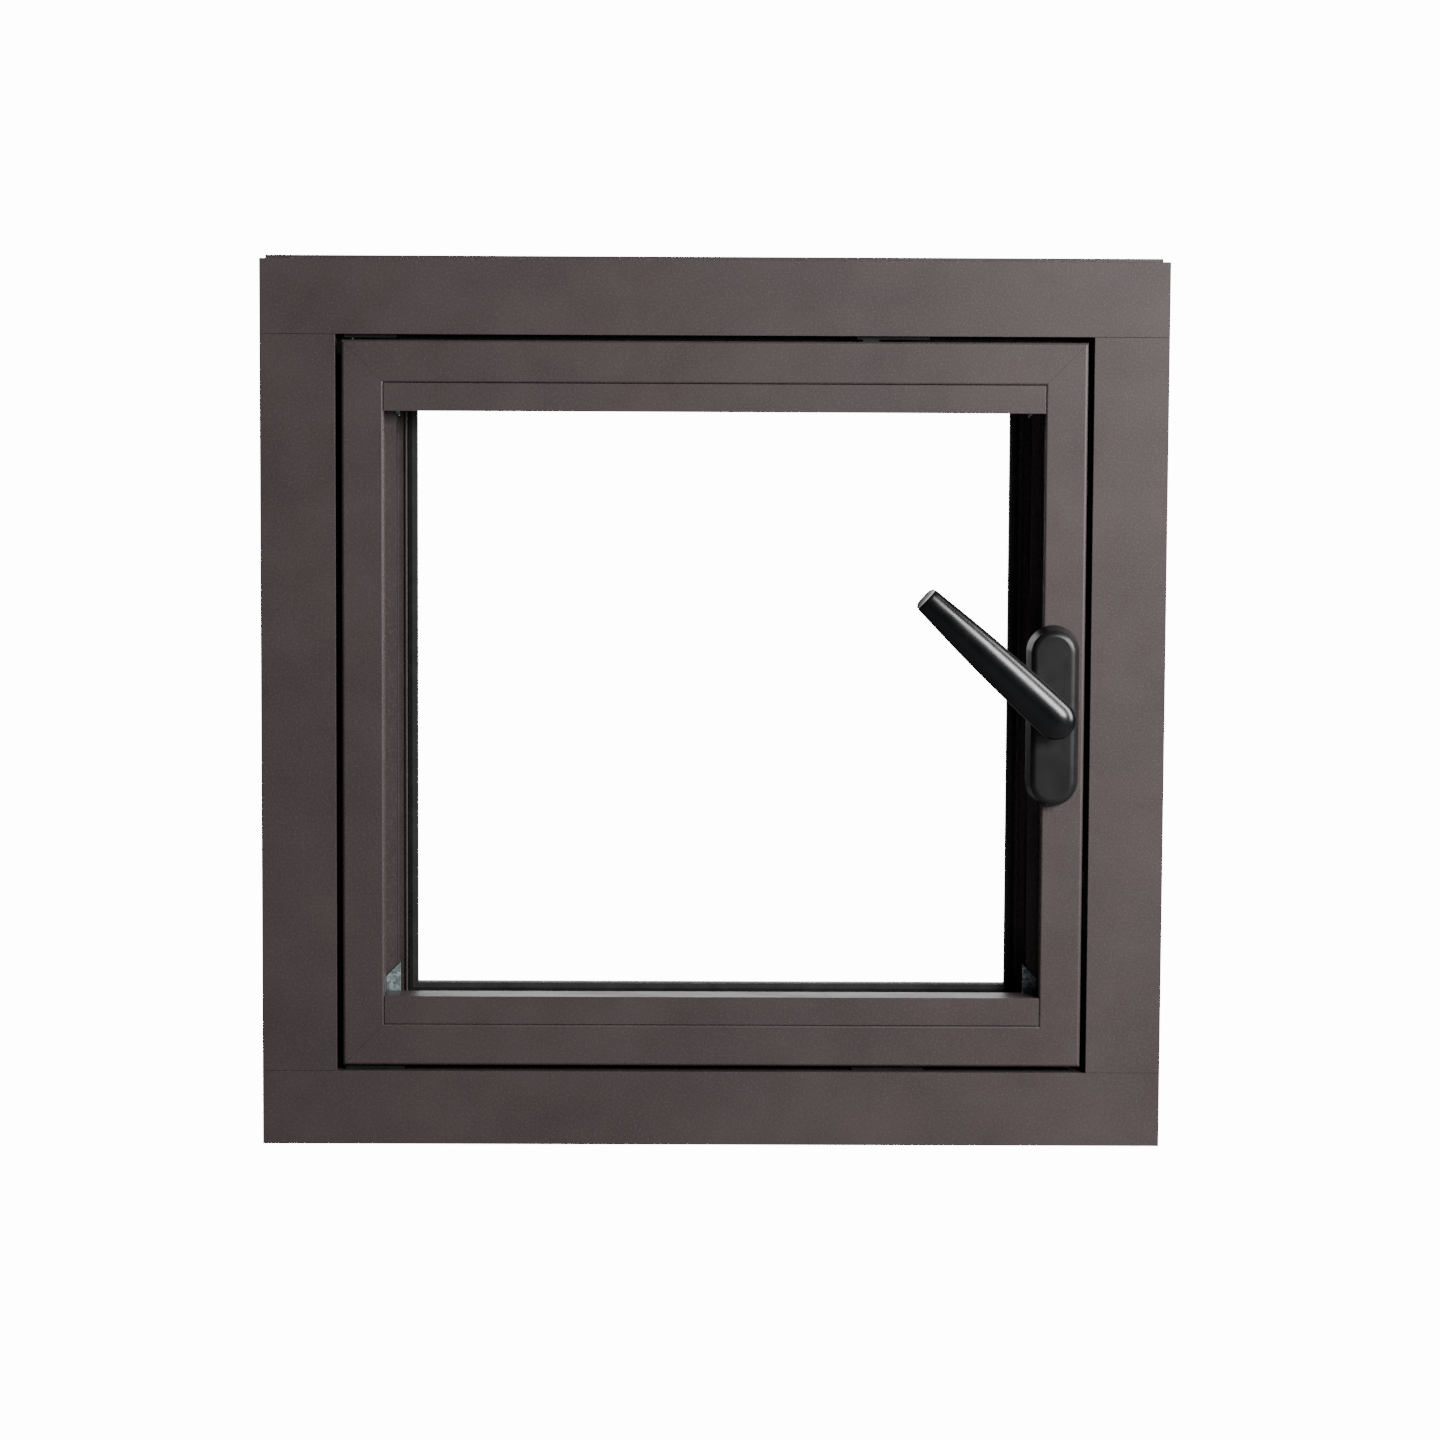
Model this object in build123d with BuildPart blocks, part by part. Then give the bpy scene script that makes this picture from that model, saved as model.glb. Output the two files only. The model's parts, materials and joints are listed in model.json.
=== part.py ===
"""Inward-opening tilt-and-turn casement window in thermally broken aluminium.

Millimetres. X runs to the right as seen from the room, Y runs outdoors, Z runs up.
The origin is on the underside of the sill, midway along it and midway through its depth.
Every bar is drawn as a section: u runs from its outer edge towards the middle of the window.
"""
import math
import os

from build123d import *

os.makedirs("parts", exist_ok=True)

# ---------------------------------------------------------------- overall sizes
frame_width = 700.0
frame_height = 690.0
frame_depth = 70.0
metal_wall = 2.0
edge_break = 0.35
running_clearance = 0.05
moving_clearance = 0.4
ring_joint_gap = 0.05

# ---------------------------------------------------------------- frame section
frame_face = 58.0
frame_inner_depth = 32.0
frame_outer_depth = 20.0
wall_channel = 8.0
flange_thickness = 2.5
stop_leg_rise = 24.0
stop_leg_depth = 10.0
strip_thickness = 2.2

# ---------------------------------------------------------------- sash section
sash_gap = 4.5
lip_width = 16.5
lip_thickness = 5.0
lip_bevel = 2.5
sash_face = 32.5
sash_inner_depth = 32.0
sash_outer_depth = 18.0
sash_setback = 4.0
bead_fin_rise = 8.5
bead_fin_thickness = 3.0
glazing_leg_rise = 24.0
glazing_leg_depth = 7.0
gasket_rib_step = 5.8
gasket_rib_width = 1.4
gasket_rib_rise = 2.6
seal_gap = 3.0
stop_clearance = 3.5
inner_edge_radius = 1.8

# ---------------------------------------------------------------- glazing beads
bead_height = 22.0
bead_depth = 27.0
bead_wall = 1.6
bead_play = 0.2
bead_end_play = 0.05
gasket_thickness = 3.0
gasket_width = 6.0

# ---------------------------------------------------------------- hardware groove and rods
groove_width = 13.0
groove_depth = 4.2
groove_hook = 1.5
groove_lip = 1.0
groove_centre_from_face = 16.5
rod_thickness = 2.4
rod_width = 12.0
cam_shank_radius = 2.6
cam_head_radius = 4.0
cam_head_thickness = 2.6
cam_reach = 10.3
keeper_plate = 2.8
keeper_lip = 3.0
keeper_rise = 9.7

# ---------------------------------------------------------------- handle
spindle_from_sash_edge = 24.8
spindle_below_middle = 4.4
plate_above_spindle = 69.0
plate_below_spindle = 72.4
plate_width = 41.0
plate_thickness = 17.0
cover_draft = 3.5
cover_wall = 1.6
base_thickness = 3.0
gear_thickness = 5.0
pinion_module = 1.0
pinion_teeth = 16
spindle_square = 7.0
neck_radius = 9.0
collar_radius = 14.5
collar_thickness = 3.7
lever_length = 137.0
lever_rest_angle = 42.7
lever_stand_off = 39.0
hub_radius = 16.0
hub_thickness = 17.0
end_cap_length = 3.5

# ---------------------------------------------------------------- pivots
pivot_from_sash_edge = 8.0
pivot_from_face = 10.0
pivot_pin_radius = 3.0
pivot_pin_length = 30.0
barrel_radius = 3.5
upper_pin_radius = 2.0
stay_length = 230.0
stay_thickness = 2.6
stay_below_sash_edge = 5.6
stay_slot_play = 1.2
stay_slot_run = 3.6
tilt_limit = 8.0

# ---------------------------------------------------------------- values worked out from the sizes above
half_width = frame_width / 2
room_face = -frame_depth / 2
out_face = frame_depth / 2
frame_inner_back = room_face + frame_inner_depth
frame_outer_front = out_face - frame_outer_depth
sash_inset = frame_face + sash_gap
sash_inner_back = room_face + sash_inner_depth
sash_out_face = out_face - sash_setback
sash_outer_front = sash_out_face - sash_outer_depth
stop_leg_front = out_face - stop_leg_depth
seal_face = stop_leg_front - seal_gap
glazing_leg_front = sash_out_face - glazing_leg_depth
rebate_floor = sash_face + bead_fin_rise
glazing_leg_tip = sash_face + glazing_leg_rise
stop_leg_tip = frame_face + stop_leg_rise
groove_y = room_face + groove_centre_from_face
groove_top = lip_width - groove_depth
rod_top = lip_width - moving_clearance - rod_thickness
pivot_x = -half_width + sash_inset + pivot_from_sash_edge
pivot_y = room_face + pivot_from_face
pivot_z = sash_inset + pivot_from_sash_edge
sash_top = frame_height - sash_inset
sash_right = half_width - sash_inset
spindle_x = sash_right - spindle_from_sash_edge
spindle_z = frame_height / 2 - spindle_below_middle
pinion_radius = pinion_module * pinion_teeth / 2


def write(piece, name):
    """Label a finished piece and save it under the name of its node."""
    piece.part.label = name
    export_step(piece.part, "parts/" + name + ".step")


def side_plane(side, inset):
    """Section plane at one end of a side: local X inward, local Y outdoors, normal along the side."""
    right = half_width - inset
    top = frame_height - inset
    planes = {
        "sill": Plane(origin=(right, 0, inset), x_dir=(0, 0, 1), z_dir=(-1, 0, 0)),
        "head": Plane(origin=(-right, 0, top), x_dir=(0, 0, -1), z_dir=(1, 0, 0)),
        "left": Plane(origin=(-right, 0, inset), x_dir=(1, 0, 0), z_dir=(0, 0, 1)),
        "right": Plane(origin=(right, 0, top), x_dir=(-1, 0, 0), z_dir=(0, 0, -1)),
    }
    return planes[side]


def side_length(side, inset):
    """Length of a side between the two corners at this inset."""
    if side in ("sill", "head"):
        return frame_width - 2 * inset
    return frame_height - 2 * inset


def section(plane, outline, hollows, rounded=None):
    """Section of a bar: a closed outline with rectangular hollows and one rounded corner."""
    with BuildSketch(plane) as drawn:
        with BuildLine():
            Polyline(*outline, close=True)
        make_face()
        for low_u, low_y, high_u, high_y in hollows:
            with Locations(((low_u + high_u) / 2, (low_y + high_y) / 2)):
                Rectangle(high_u - low_u, high_y - low_y, mode=Mode.SUBTRACT)
        if rounded:
            fillet(drawn.vertices().sort_by_distance((rounded[0], rounded[1], 0))[0], rounded[2])
    return drawn.sketch


def mitre(plane, length):
    """Cut both ends of the bar being built at 45 degrees, leaving its outer edge at full length."""
    far_corner = plane.origin + plane.z_dir * length
    split(bisect_by=Plane(origin=plane.origin, z_dir=plane.z_dir - plane.x_dir), keep=Keep.TOP)
    split(bisect_by=Plane(origin=far_corner, z_dir=plane.z_dir * -1 - plane.x_dir), keep=Keep.TOP)


def ring_bars(inset, outline):
    """Four bars of one plain section with mitred ends that almost meet, as on a gasket round a frame."""
    with BuildPart() as ring:
        for side in ("sill", "head", "left", "right"):
            plane = side_plane(side, inset)
            near_corner = plane.origin + plane.z_dir * ring_joint_gap
            far_corner = plane.origin + plane.z_dir * (side_length(side, inset) - ring_joint_gap)
            bar = extrude(section(plane, outline, ()), side_length(side, inset), mode=Mode.PRIVATE)
            bar = bar.split(Plane(origin=near_corner, z_dir=plane.z_dir - plane.x_dir), Keep.TOP)
            bar = bar.split(Plane(origin=far_corner, z_dir=plane.z_dir * -1 - plane.x_dir), Keep.TOP)
            add(bar)
    return ring


# ================================================================ frame bars
# The head and the sill run the full width and the jambs stand between them, cut square.
fixing_hole_radius = 3.25
fixing_hole_from_end = 120.0
fixing_hole_y = frame_inner_back - 10.0
joint_screw_radius = 2.5
joint_screw_head_radius = 4.5
joint_screw_head = 3.0
joint_screw_grip = 30.0
joint_block_length = 45.0
web_offset = 4.0
web_u = frame_face / 2 + web_offset
web_thickness = 1.6
joint_screw_u = (wall_channel + metal_wall + web_u - web_thickness / 2) / 2
joint_screw_y = room_face + frame_inner_depth / 2

frame_inner_outline = (
    (0, room_face),
    (frame_face, room_face),
    (frame_face, frame_inner_back),
    (wall_channel, frame_inner_back),
    (wall_channel, room_face + flange_thickness),
    (0, room_face + flange_thickness),
)
frame_inner_hollows = (
    (
        wall_channel + metal_wall,
        room_face + metal_wall,
        web_u - web_thickness / 2,
        frame_inner_back - metal_wall,
    ),
    (
        web_u + web_thickness / 2,
        room_face + metal_wall,
        frame_face - metal_wall,
        frame_inner_back - metal_wall,
    ),
)
frame_outer_outline = (
    (wall_channel, frame_outer_front),
    (frame_face, frame_outer_front),
    (frame_face, stop_leg_front),
    (stop_leg_tip, stop_leg_front),
    (stop_leg_tip, out_face),
    (0, out_face),
    (0, out_face - flange_thickness),
    (wall_channel, out_face - flange_thickness),
)
frame_outer_hollows = (
    (
        wall_channel + metal_wall,
        frame_outer_front + metal_wall,
        frame_face - metal_wall,
        out_face - metal_wall,
    ),
    (frame_face, stop_leg_front + metal_wall, stop_leg_tip - metal_wall, out_face - metal_wall),
)
frame_strip_step = 1.0
frame_strip_starts = (wall_channel + frame_strip_step, frame_face - strip_thickness)

for side in ("head", "sill", "left", "right"):
    upright = side in ("left", "right")
    bar_start = frame_face if upright else 0.0
    bar_plane = side_plane(side, 0).offset(bar_start)
    bar_length = side_length(side, 0) - 2 * bar_start
    bar_name = "jamb_" + side if upright else "frame_" + side

    with BuildPart() as inner_bar:
        extrude(section(bar_plane, frame_inner_outline, frame_inner_hollows), amount=bar_length)
        chamfer(inner_bar.faces().sort_by(Axis.Y)[0].edges(), edge_break)
        if upright:
            for hole_z in (fixing_hole_from_end, frame_height - fixing_hole_from_end):
                with Locations(Plane(origin=(0, fixing_hole_y, hole_z), z_dir=bar_plane.x_dir)):
                    Cylinder(fixing_hole_radius, frame_width, mode=Mode.SUBTRACT)
        else:
            for hole_x in (-1, 1):
                hole_at = (hole_x * (half_width - joint_screw_u), joint_screw_y, frame_height / 2)
                with Locations(hole_at):
                    Cylinder(joint_screw_radius + running_clearance, frame_height, mode=Mode.SUBTRACT)
    write(inner_bar, bar_name + "_inner")

    with BuildPart() as outer_bar:
        extrude(section(bar_plane, frame_outer_outline, frame_outer_hollows), amount=bar_length)
        if not upright:
            for cope_plane in (bar_plane, bar_plane.offset(bar_length - stop_leg_tip)):
                with BuildSketch(cope_plane):
                    with Locations((frame_face + stop_leg_rise, out_face)):
                        Rectangle(2 * stop_leg_rise, 2 * frame_outer_depth)
                extrude(amount=stop_leg_tip, mode=Mode.SUBTRACT)
    write(outer_bar, bar_name + "_outer")

    with BuildPart() as strip_pair:
        with BuildSketch(bar_plane):
            for strip_u in frame_strip_starts:
                with Locations((strip_u + strip_thickness / 2, (frame_inner_back + frame_outer_front) / 2)):
                    Rectangle(strip_thickness, frame_outer_front - frame_inner_back)
        extrude(amount=bar_length)
    write(strip_pair, bar_name + "_strips")

# Blocks in the jamb ends take the screws that pull the head and the sill on to the jambs.
block_play = 0.15
block_reach = frame_height / 2 - frame_face - joint_block_length / 2
with BuildPart() as joint_blocks:
    for block_x in (-1, 1):
        for block_end in (-1, 1):
            block_z = frame_height / 2 + block_end * block_reach
            with Locations((block_x * (half_width - joint_screw_u), joint_screw_y, block_z)):
                Box(
                    web_u - wall_channel - metal_wall - web_thickness / 2 - 2 * block_play,
                    frame_inner_depth - 2 * metal_wall - 2 * block_play,
                    joint_block_length,
                )
                Cylinder(joint_screw_radius + running_clearance, joint_block_length, mode=Mode.SUBTRACT)
write(joint_blocks, "frame_joint_blocks")

joint_screw_length = frame_face - wall_channel + joint_screw_grip
with BuildPart() as joint_screws:
    for screw_x in (-1, 1):
        for screw_up in (-1, 1):
            seat_z = frame_height / 2 + screw_up * (frame_height / 2 - wall_channel)
            screw_at = screw_x * (half_width - joint_screw_u)
            with Locations((screw_at, joint_screw_y, seat_z - screw_up * joint_screw_length / 2)):
                Cylinder(joint_screw_radius, joint_screw_length)
            with Locations((screw_at, joint_screw_y, seat_z + screw_up * joint_screw_head / 2)):
                Cylinder(joint_screw_head_radius, joint_screw_head)
write(joint_screws, "frame_joint_screws")

# Drainage hoods clip over slots in the outside of the sill.
hood_width = 32.0
hood_height = 12.0
hood_depth = 3.5
hood_from_middle = 190.0
with BuildPart() as drain_hoods:
    for hood_x in (-hood_from_middle, hood_from_middle):
        with Locations((hood_x, out_face + hood_depth / 2, frame_face / 2)):
            Box(hood_width, hood_depth, hood_height)
    fillet(drain_hoods.edges().filter_by(Axis.Y), 2.0)
write(drain_hoods, "drain_hoods")

# ================================================================ frame gaskets
outer_seal_width = 4.0
outer_seal_clearance = 0.3
seal_start = stop_leg_tip - outer_seal_width
weather_seal = ring_bars(0, (
    (seal_start, seal_face + outer_seal_clearance),
    (stop_leg_tip - 0.5, seal_face + outer_seal_clearance),
    (stop_leg_tip - 0.5, stop_leg_front),
    (seal_start, stop_leg_front),
))
write(weather_seal, "weather_seal")

centre_seal_y = (frame_inner_back + frame_outer_front) / 2 - 1.0
centre_seal_foot = 9.0
centre_seal_thickness = 2.4
centre_seal_tip = sash_inset + lip_width - 3.2
centre_seal = ring_bars(0, (
    (frame_face, centre_seal_y - centre_seal_foot / 2),
    (frame_face + centre_seal_thickness, centre_seal_y - centre_seal_foot / 2),
    (frame_face + centre_seal_thickness, centre_seal_y),
    (centre_seal_tip, centre_seal_y + centre_seal_thickness),
    (centre_seal_tip, centre_seal_y + 2 * centre_seal_thickness),
    (frame_face + centre_seal_thickness, centre_seal_y + centre_seal_thickness),
    (frame_face + centre_seal_thickness, centre_seal_y + centre_seal_foot / 2),
    (frame_face, centre_seal_y + centre_seal_foot / 2),
))
write(centre_seal, "centre_seal")

# ================================================================ sash bars
# Four mitred bars. The lip laps the gap to the frame and the groove behind it carries the rods.
hook_room = groove_y - groove_width / 2
hook_out = groove_y + groove_width / 2
sash_inner_outline = (
    (0, room_face + lip_bevel),
    (lip_bevel, room_face),
    (sash_face, room_face),
    (sash_face, sash_inner_back - bead_fin_thickness),
    (rebate_floor, sash_inner_back - bead_fin_thickness),
    (rebate_floor, sash_inner_back),
    (lip_width, sash_inner_back),
    (lip_width, hook_out + groove_hook),
    (groove_top, hook_out + groove_hook),
    (groove_top, hook_out - groove_hook),
    (groove_top + groove_lip, hook_out - groove_hook),
    (groove_top + groove_lip, hook_out),
    (lip_width, hook_out),
    (lip_width, hook_room),
    (groove_top + groove_lip, hook_room),
    (groove_top + groove_lip, hook_room + groove_hook),
    (groove_top, hook_room + groove_hook),
    (groove_top, hook_room - groove_hook),
    (lip_width, hook_room - groove_hook),
    (lip_width, room_face + lip_thickness),
    (0, room_face + lip_thickness),
)
sash_inner_hollow = (
    lip_width + metal_wall,
    room_face + metal_wall,
    sash_face - metal_wall,
    sash_inner_back - metal_wall,
)
outer_step = stop_leg_tip - sash_inset + stop_clearance
gasket_rib_low = rebate_floor + gasket_rib_step
gasket_rib_high = gasket_rib_low + gasket_rib_width
gasket_rib_front = glazing_leg_front - gasket_rib_rise
sash_outer_outline = (
    (lip_width, sash_outer_front),
    (rebate_floor, sash_outer_front),
    (rebate_floor, glazing_leg_front),
    (gasket_rib_low, glazing_leg_front),
    (gasket_rib_low, gasket_rib_front),
    (gasket_rib_high, gasket_rib_front),
    (gasket_rib_high, glazing_leg_front),
    (glazing_leg_tip, glazing_leg_front),
    (glazing_leg_tip, sash_out_face),
    (outer_step, sash_out_face),
    (outer_step, seal_face),
    (lip_width, seal_face),
)
sash_outer_hollows = (
    (
        lip_width + metal_wall,
        sash_outer_front + metal_wall,
        rebate_floor - metal_wall,
        seal_face - metal_wall,
    ),
    (
        outer_step + metal_wall,
        seal_face - metal_wall,
        rebate_floor - metal_wall,
        sash_out_face - metal_wall,
    ),
    (
        rebate_floor,
        glazing_leg_front + metal_wall,
        glazing_leg_tip - metal_wall,
        sash_out_face - metal_wall,
    ),
)
sash_strip_starts = (lip_width, rebate_floor - strip_thickness)
sash_names = {"sill": "bottom", "head": "top", "left": "left", "right": "right"}

# The drive prong of the handle passes through a slot in the lip of the lock-side bar.
prong_thickness = 1.6
prong_width = 8.0
prong_below_spindle = 20.0
slot_play = 0.5
prong_x = sash_right - rod_top - rod_thickness / 2
handle_up_travel = math.radians(lever_rest_angle + 90) * pinion_radius
handle_down_travel = math.radians(90 - lever_rest_angle) * pinion_radius
slot_low = spindle_z - prong_below_spindle - handle_down_travel - prong_width / 2 - slot_play
slot_high = spindle_z - prong_below_spindle + handle_up_travel + prong_width / 2 + slot_play
slot_width = prong_thickness + 2 * slot_play
handle_screw_up = 52.0
handle_screw_down = 56.0
handle_screw_radius = 2.2
handle_screw_grip = 9.0

for side, bar_name in sash_names.items():
    bar_plane = side_plane(side, sash_inset)
    bar_length = side_length(side, sash_inset)

    with BuildPart() as inner_bar:
        rounding = (sash_face, room_face, inner_edge_radius)
        extrude(section(bar_plane, sash_inner_outline, (sash_inner_hollow,), rounding), amount=bar_length)
        mitre(bar_plane, bar_length)
        if side == "right":
            with Locations((prong_x, room_face, (slot_low + slot_high) / 2)):
                Box(
                    slot_width,
                    2 * (hook_room + slot_play - room_face),
                    slot_high - slot_low,
                    mode=Mode.SUBTRACT,
                )
            for screw_z in (spindle_z + handle_screw_up, spindle_z - handle_screw_down):
                with Locations(Plane(origin=(spindle_x, room_face, screw_z), z_dir=(0, 1, 0))):
                    Cylinder(handle_screw_radius + running_clearance, 4 * metal_wall, mode=Mode.SUBTRACT)
    write(inner_bar, "sash_" + bar_name + "_inner")

    with BuildPart() as outer_bar:
        extrude(section(bar_plane, sash_outer_outline, sash_outer_hollows), amount=bar_length)
        mitre(bar_plane, bar_length)
    write(outer_bar, "sash_" + bar_name + "_outer")

strip_middle = (sash_inner_back + sash_outer_front) / 2
strip_half = (sash_outer_front - sash_inner_back) / 2
for strip_start, strip_name in zip(sash_strip_starts, ("sash_edge_strips", "sash_rebate_strips")):
    strip_ring = ring_bars(sash_inset, (
        (strip_start, strip_middle - strip_half),
        (strip_start + strip_thickness, strip_middle - strip_half),
        (strip_start + strip_thickness, strip_middle + strip_half),
        (strip_start, strip_middle + strip_half),
    ))
    write(strip_ring, strip_name)

# Cast cleats fill the mitred corners of the inner bars.
cleat_leg = 58.0
cleat_play = 0.25
cleat_low = lip_width + metal_wall + cleat_play
cleat_high = sash_face - metal_wall - cleat_play
cleat_end_room = 4.0
cleat_depth = sash_inner_depth - 2 * metal_wall - 2 * cleat_end_room
cleat_front = room_face + metal_wall + cleat_end_room


def corner_shape(low, high, leg, cut_end):
    """L-shaped outline in one corner of the sash, its legs between two insets."""
    end_step = high - low if cut_end else 0.0
    lower_leg = ((leg - end_step, low), (leg, high))
    upper_leg = ((high, leg), (low, leg - end_step))
    return ((low, low), *lower_leg, (high, high), *upper_leg)


def corner_pieces(low, high, legs, depth, front, cut_end):
    """The same L-shaped piece in all four corners of the sash."""
    with BuildPart() as corners:
        for right in (-1, 1):
            for top in (0, 1):
                corner_z = sash_top if top else sash_inset
                up = -1 if top else 1
                outline = [
                    (right * (sash_right - u), corner_z + up * v)
                    for u, v in corner_shape(low, high, legs[top], cut_end)
                ]
                with BuildSketch(Plane(origin=(0, front, 0), x_dir=(1, 0, 0), z_dir=(0, -1, 0))):
                    with BuildLine():
                        Polyline(*outline, close=True)
                    make_face()
                extrude(amount=-depth)
    return corners


corner_cleats = corner_pieces(
    cleat_low, cleat_high, (cleat_leg, cleat_leg), cleat_depth, cleat_front, False
)
write(corner_cleats, "sash_corner_cleats")

# Galvanised plates keep the mitres flush. They lie against the fin behind the beads.
plate_gauge = 1.5
corner_plate_low = sash_face + bead_play
corner_plate_lap = 3.0
corner_plate_high = rebate_floor + corner_plate_lap
lower_plate_leg = 77.0
upper_plate_leg = 60.0
corner_plate_front = sash_inner_back - bead_fin_thickness - plate_gauge
corner_plates = corner_pieces(
    corner_plate_low,
    corner_plate_high,
    (lower_plate_leg, upper_plate_leg),
    plate_gauge,
    corner_plate_front,
    True,
)
write(corner_plates, "sash_corner_plates")

# ================================================================ glazing beads and gaskets
# Square beads snap in along the top and the bottom of the sash.
bead_low = sash_face + bead_play
bead_high = sash_face + bead_height
bead_back = room_face + bead_depth
bead_rear_leg = 10.0
bead_foot_depth = 19.0
bead_outline = (
    (bead_low, room_face),
    (bead_high, room_face),
    (bead_high, bead_back),
    (bead_high - bead_rear_leg, bead_back),
    (bead_high - bead_rear_leg, bead_back - bead_wall),
    (bead_high - bead_wall, bead_back - bead_wall),
    (bead_high - bead_wall, room_face + bead_wall),
    (bead_low + bead_wall, room_face + bead_wall),
    (bead_low + bead_wall, room_face + bead_foot_depth),
    (bead_low, room_face + bead_foot_depth),
)
bead_length = frame_width - 2 * (sash_inset + sash_face + bead_end_play)
bead_gasket_foot_step = 1.0
bead_gasket_lip_step = 0.8
bead_gasket_foot_lean = 2.5
bead_gasket_lip_lean = 1.5
bead_gasket_low = bead_high - bead_rear_leg + bead_gasket_foot_step
bead_gasket_high = bead_high - bead_gasket_lip_step
bead_gasket_outline = (
    (bead_gasket_low, bead_back),
    (bead_gasket_high, bead_back),
    (bead_gasket_high - bead_gasket_lip_lean, bead_back + gasket_thickness),
    (bead_gasket_low + bead_gasket_foot_lean, bead_back + gasket_thickness),
)
for side, bead_name in (("head", "bead_top"), ("sill", "bead_bottom")):
    bead_plane = side_plane(side, sash_inset).offset(sash_face + bead_end_play)
    with BuildPart() as bead:
        extrude(section(bead_plane, bead_outline, ()), amount=bead_length)
        chamfer(bead.faces().sort_by(Axis.Y)[0].edges().filter_by(Axis.X), edge_break)
    write(bead, bead_name)

with BuildPart() as bead_gaskets:
    for side in ("head", "sill"):
        gasket_start = sash_inset + corner_plate_high + 2 * bead_play
        gasket_plane = side_plane(side, sash_inset).offset(gasket_start - sash_inset)
        gasket_length = frame_width - 2 * gasket_start
        extrude(section(gasket_plane, bead_gasket_outline, ()), amount=gasket_length)
write(bead_gaskets, "bead_gaskets")

glazing_gasket_end = 0.4
glazing_gasket_foot_step = 1.0
glazing_gasket_foot_share = 0.6
glazing_gasket_ramp_share = 0.45
glazing_gasket_low = glazing_leg_tip - gasket_width - glazing_gasket_foot_step
glazing_gasket = ring_bars(sash_inset, (
    (glazing_gasket_low, glazing_leg_front - gasket_thickness * glazing_gasket_foot_share),
    (glazing_gasket_low + gasket_width * glazing_gasket_ramp_share, glazing_leg_front - gasket_thickness),
    (glazing_leg_tip - glazing_gasket_end, glazing_leg_front - gasket_thickness),
    (glazing_leg_tip - glazing_gasket_end, glazing_leg_front),
    (glazing_gasket_low, glazing_leg_front),
))
write(glazing_gasket, "glazing_gasket")

# ================================================================ rods, cams and keepers
# One rod climbs the lock side and corner drives pass its movement to a rod along the top and the bottom.
rod_end_margin = 1.5
lock_rod_low = sash_inset + lip_width + handle_down_travel + rod_end_margin
lock_rod_high = sash_top - lip_width - handle_up_travel - rod_end_margin
level_rod_right = sash_right - lip_width - handle_up_travel - rod_end_margin
lower_cam_from_edge = 130.0
upper_cam_from_edge = 130.0
lock_cam_heights = (sash_inset + lower_cam_from_edge, sash_top - upper_cam_from_edge)
level_cam_from_edge = 150.0
level_cam_x = sash_right - level_cam_from_edge
level_rod_length = 210.0


def rod_bar(side, low_t, high_t):
    """Flat rod in the groove of one side, between two distances from the side's first corner."""
    rod_plane = side_plane(side, sash_inset).offset(low_t)
    with BuildSketch(rod_plane) as rod_section:
        with Locations((rod_top + rod_thickness / 2, groove_y)):
            Rectangle(rod_thickness, rod_width)
    extrude(rod_section.sketch, amount=high_t - low_t)


def cam(side, distance):
    """Mushroom-headed cam standing on a rod and pointing at the frame."""
    base = side_plane(side, sash_inset)
    foot = base.origin + base.z_dir * distance + base.x_dir * rod_top + Vector(0, groove_y, 0)
    cam_plane = Plane(origin=foot, x_dir=base.z_dir, z_dir=base.x_dir * -1)
    with BuildSketch(cam_plane) as shank:
        Circle(cam_shank_radius)
    extrude(shank.sketch, amount=cam_reach)
    with BuildSketch(cam_plane.offset(cam_reach - cam_head_thickness)) as head:
        Circle(cam_head_radius)
    extrude(head.sketch, amount=cam_head_thickness)


# Distances on the right side run down from the top corner, and on the sill from the right corner.
with BuildPart() as lock_rod:
    rod_bar("right", sash_top - lock_rod_high, sash_top - lock_rod_low)
    with Locations((prong_x, hook_room, spindle_z - prong_below_spindle)):
        Box(
            2 * rod_thickness,
            rod_width,
            prong_width + 2 * running_clearance,
            mode=Mode.SUBTRACT,
        )
write(lock_rod, "lock_rod")

with BuildPart() as lock_cams:
    for cam_z in lock_cam_heights:
        cam("right", sash_top - cam_z)
write(lock_cams, "lock_cams")

with BuildPart() as top_rod:
    rod_bar("head", level_rod_right + sash_right - level_rod_length, level_rod_right + sash_right)
write(top_rod, "top_rod")

with BuildPart() as top_cam:
    cam("head", level_cam_x + sash_right)
write(top_cam, "top_cam")

with BuildPart() as bottom_rod:
    rod_bar("sill", sash_right - level_rod_right, sash_right - level_rod_right + level_rod_length)
write(bottom_rod, "bottom_rod")

with BuildPart() as bottom_cam:
    cam("sill", level_cam_from_edge)
write(bottom_cam, "bottom_cam")

# Corner drives are bent steel covers over the flexible link between two rods.
drive_leg = 62.0
drive_gauge = 1.6
drive_width = groove_width + 2 * groove_hook
with BuildPart() as corner_drives:
    for drive_top in (0, 1):
        drive_z = sash_top if drive_top else sash_inset
        drive_up = -1 if drive_top else 1
        drive_low = groove_top - drive_gauge
        drive_outline = [
            (sash_right - u, drive_z + drive_up * v)
            for u, v in corner_shape(drive_low, groove_top, drive_leg, False)
        ]
        drive_front = groove_y - drive_width / 2
        with BuildSketch(Plane(origin=(0, drive_front, 0), x_dir=(1, 0, 0), z_dir=(0, -1, 0))):
            with BuildLine():
                Polyline(*drive_outline, close=True)
            make_face()
        extrude(amount=-drive_width)
write(corner_drives, "corner_drives")

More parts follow.
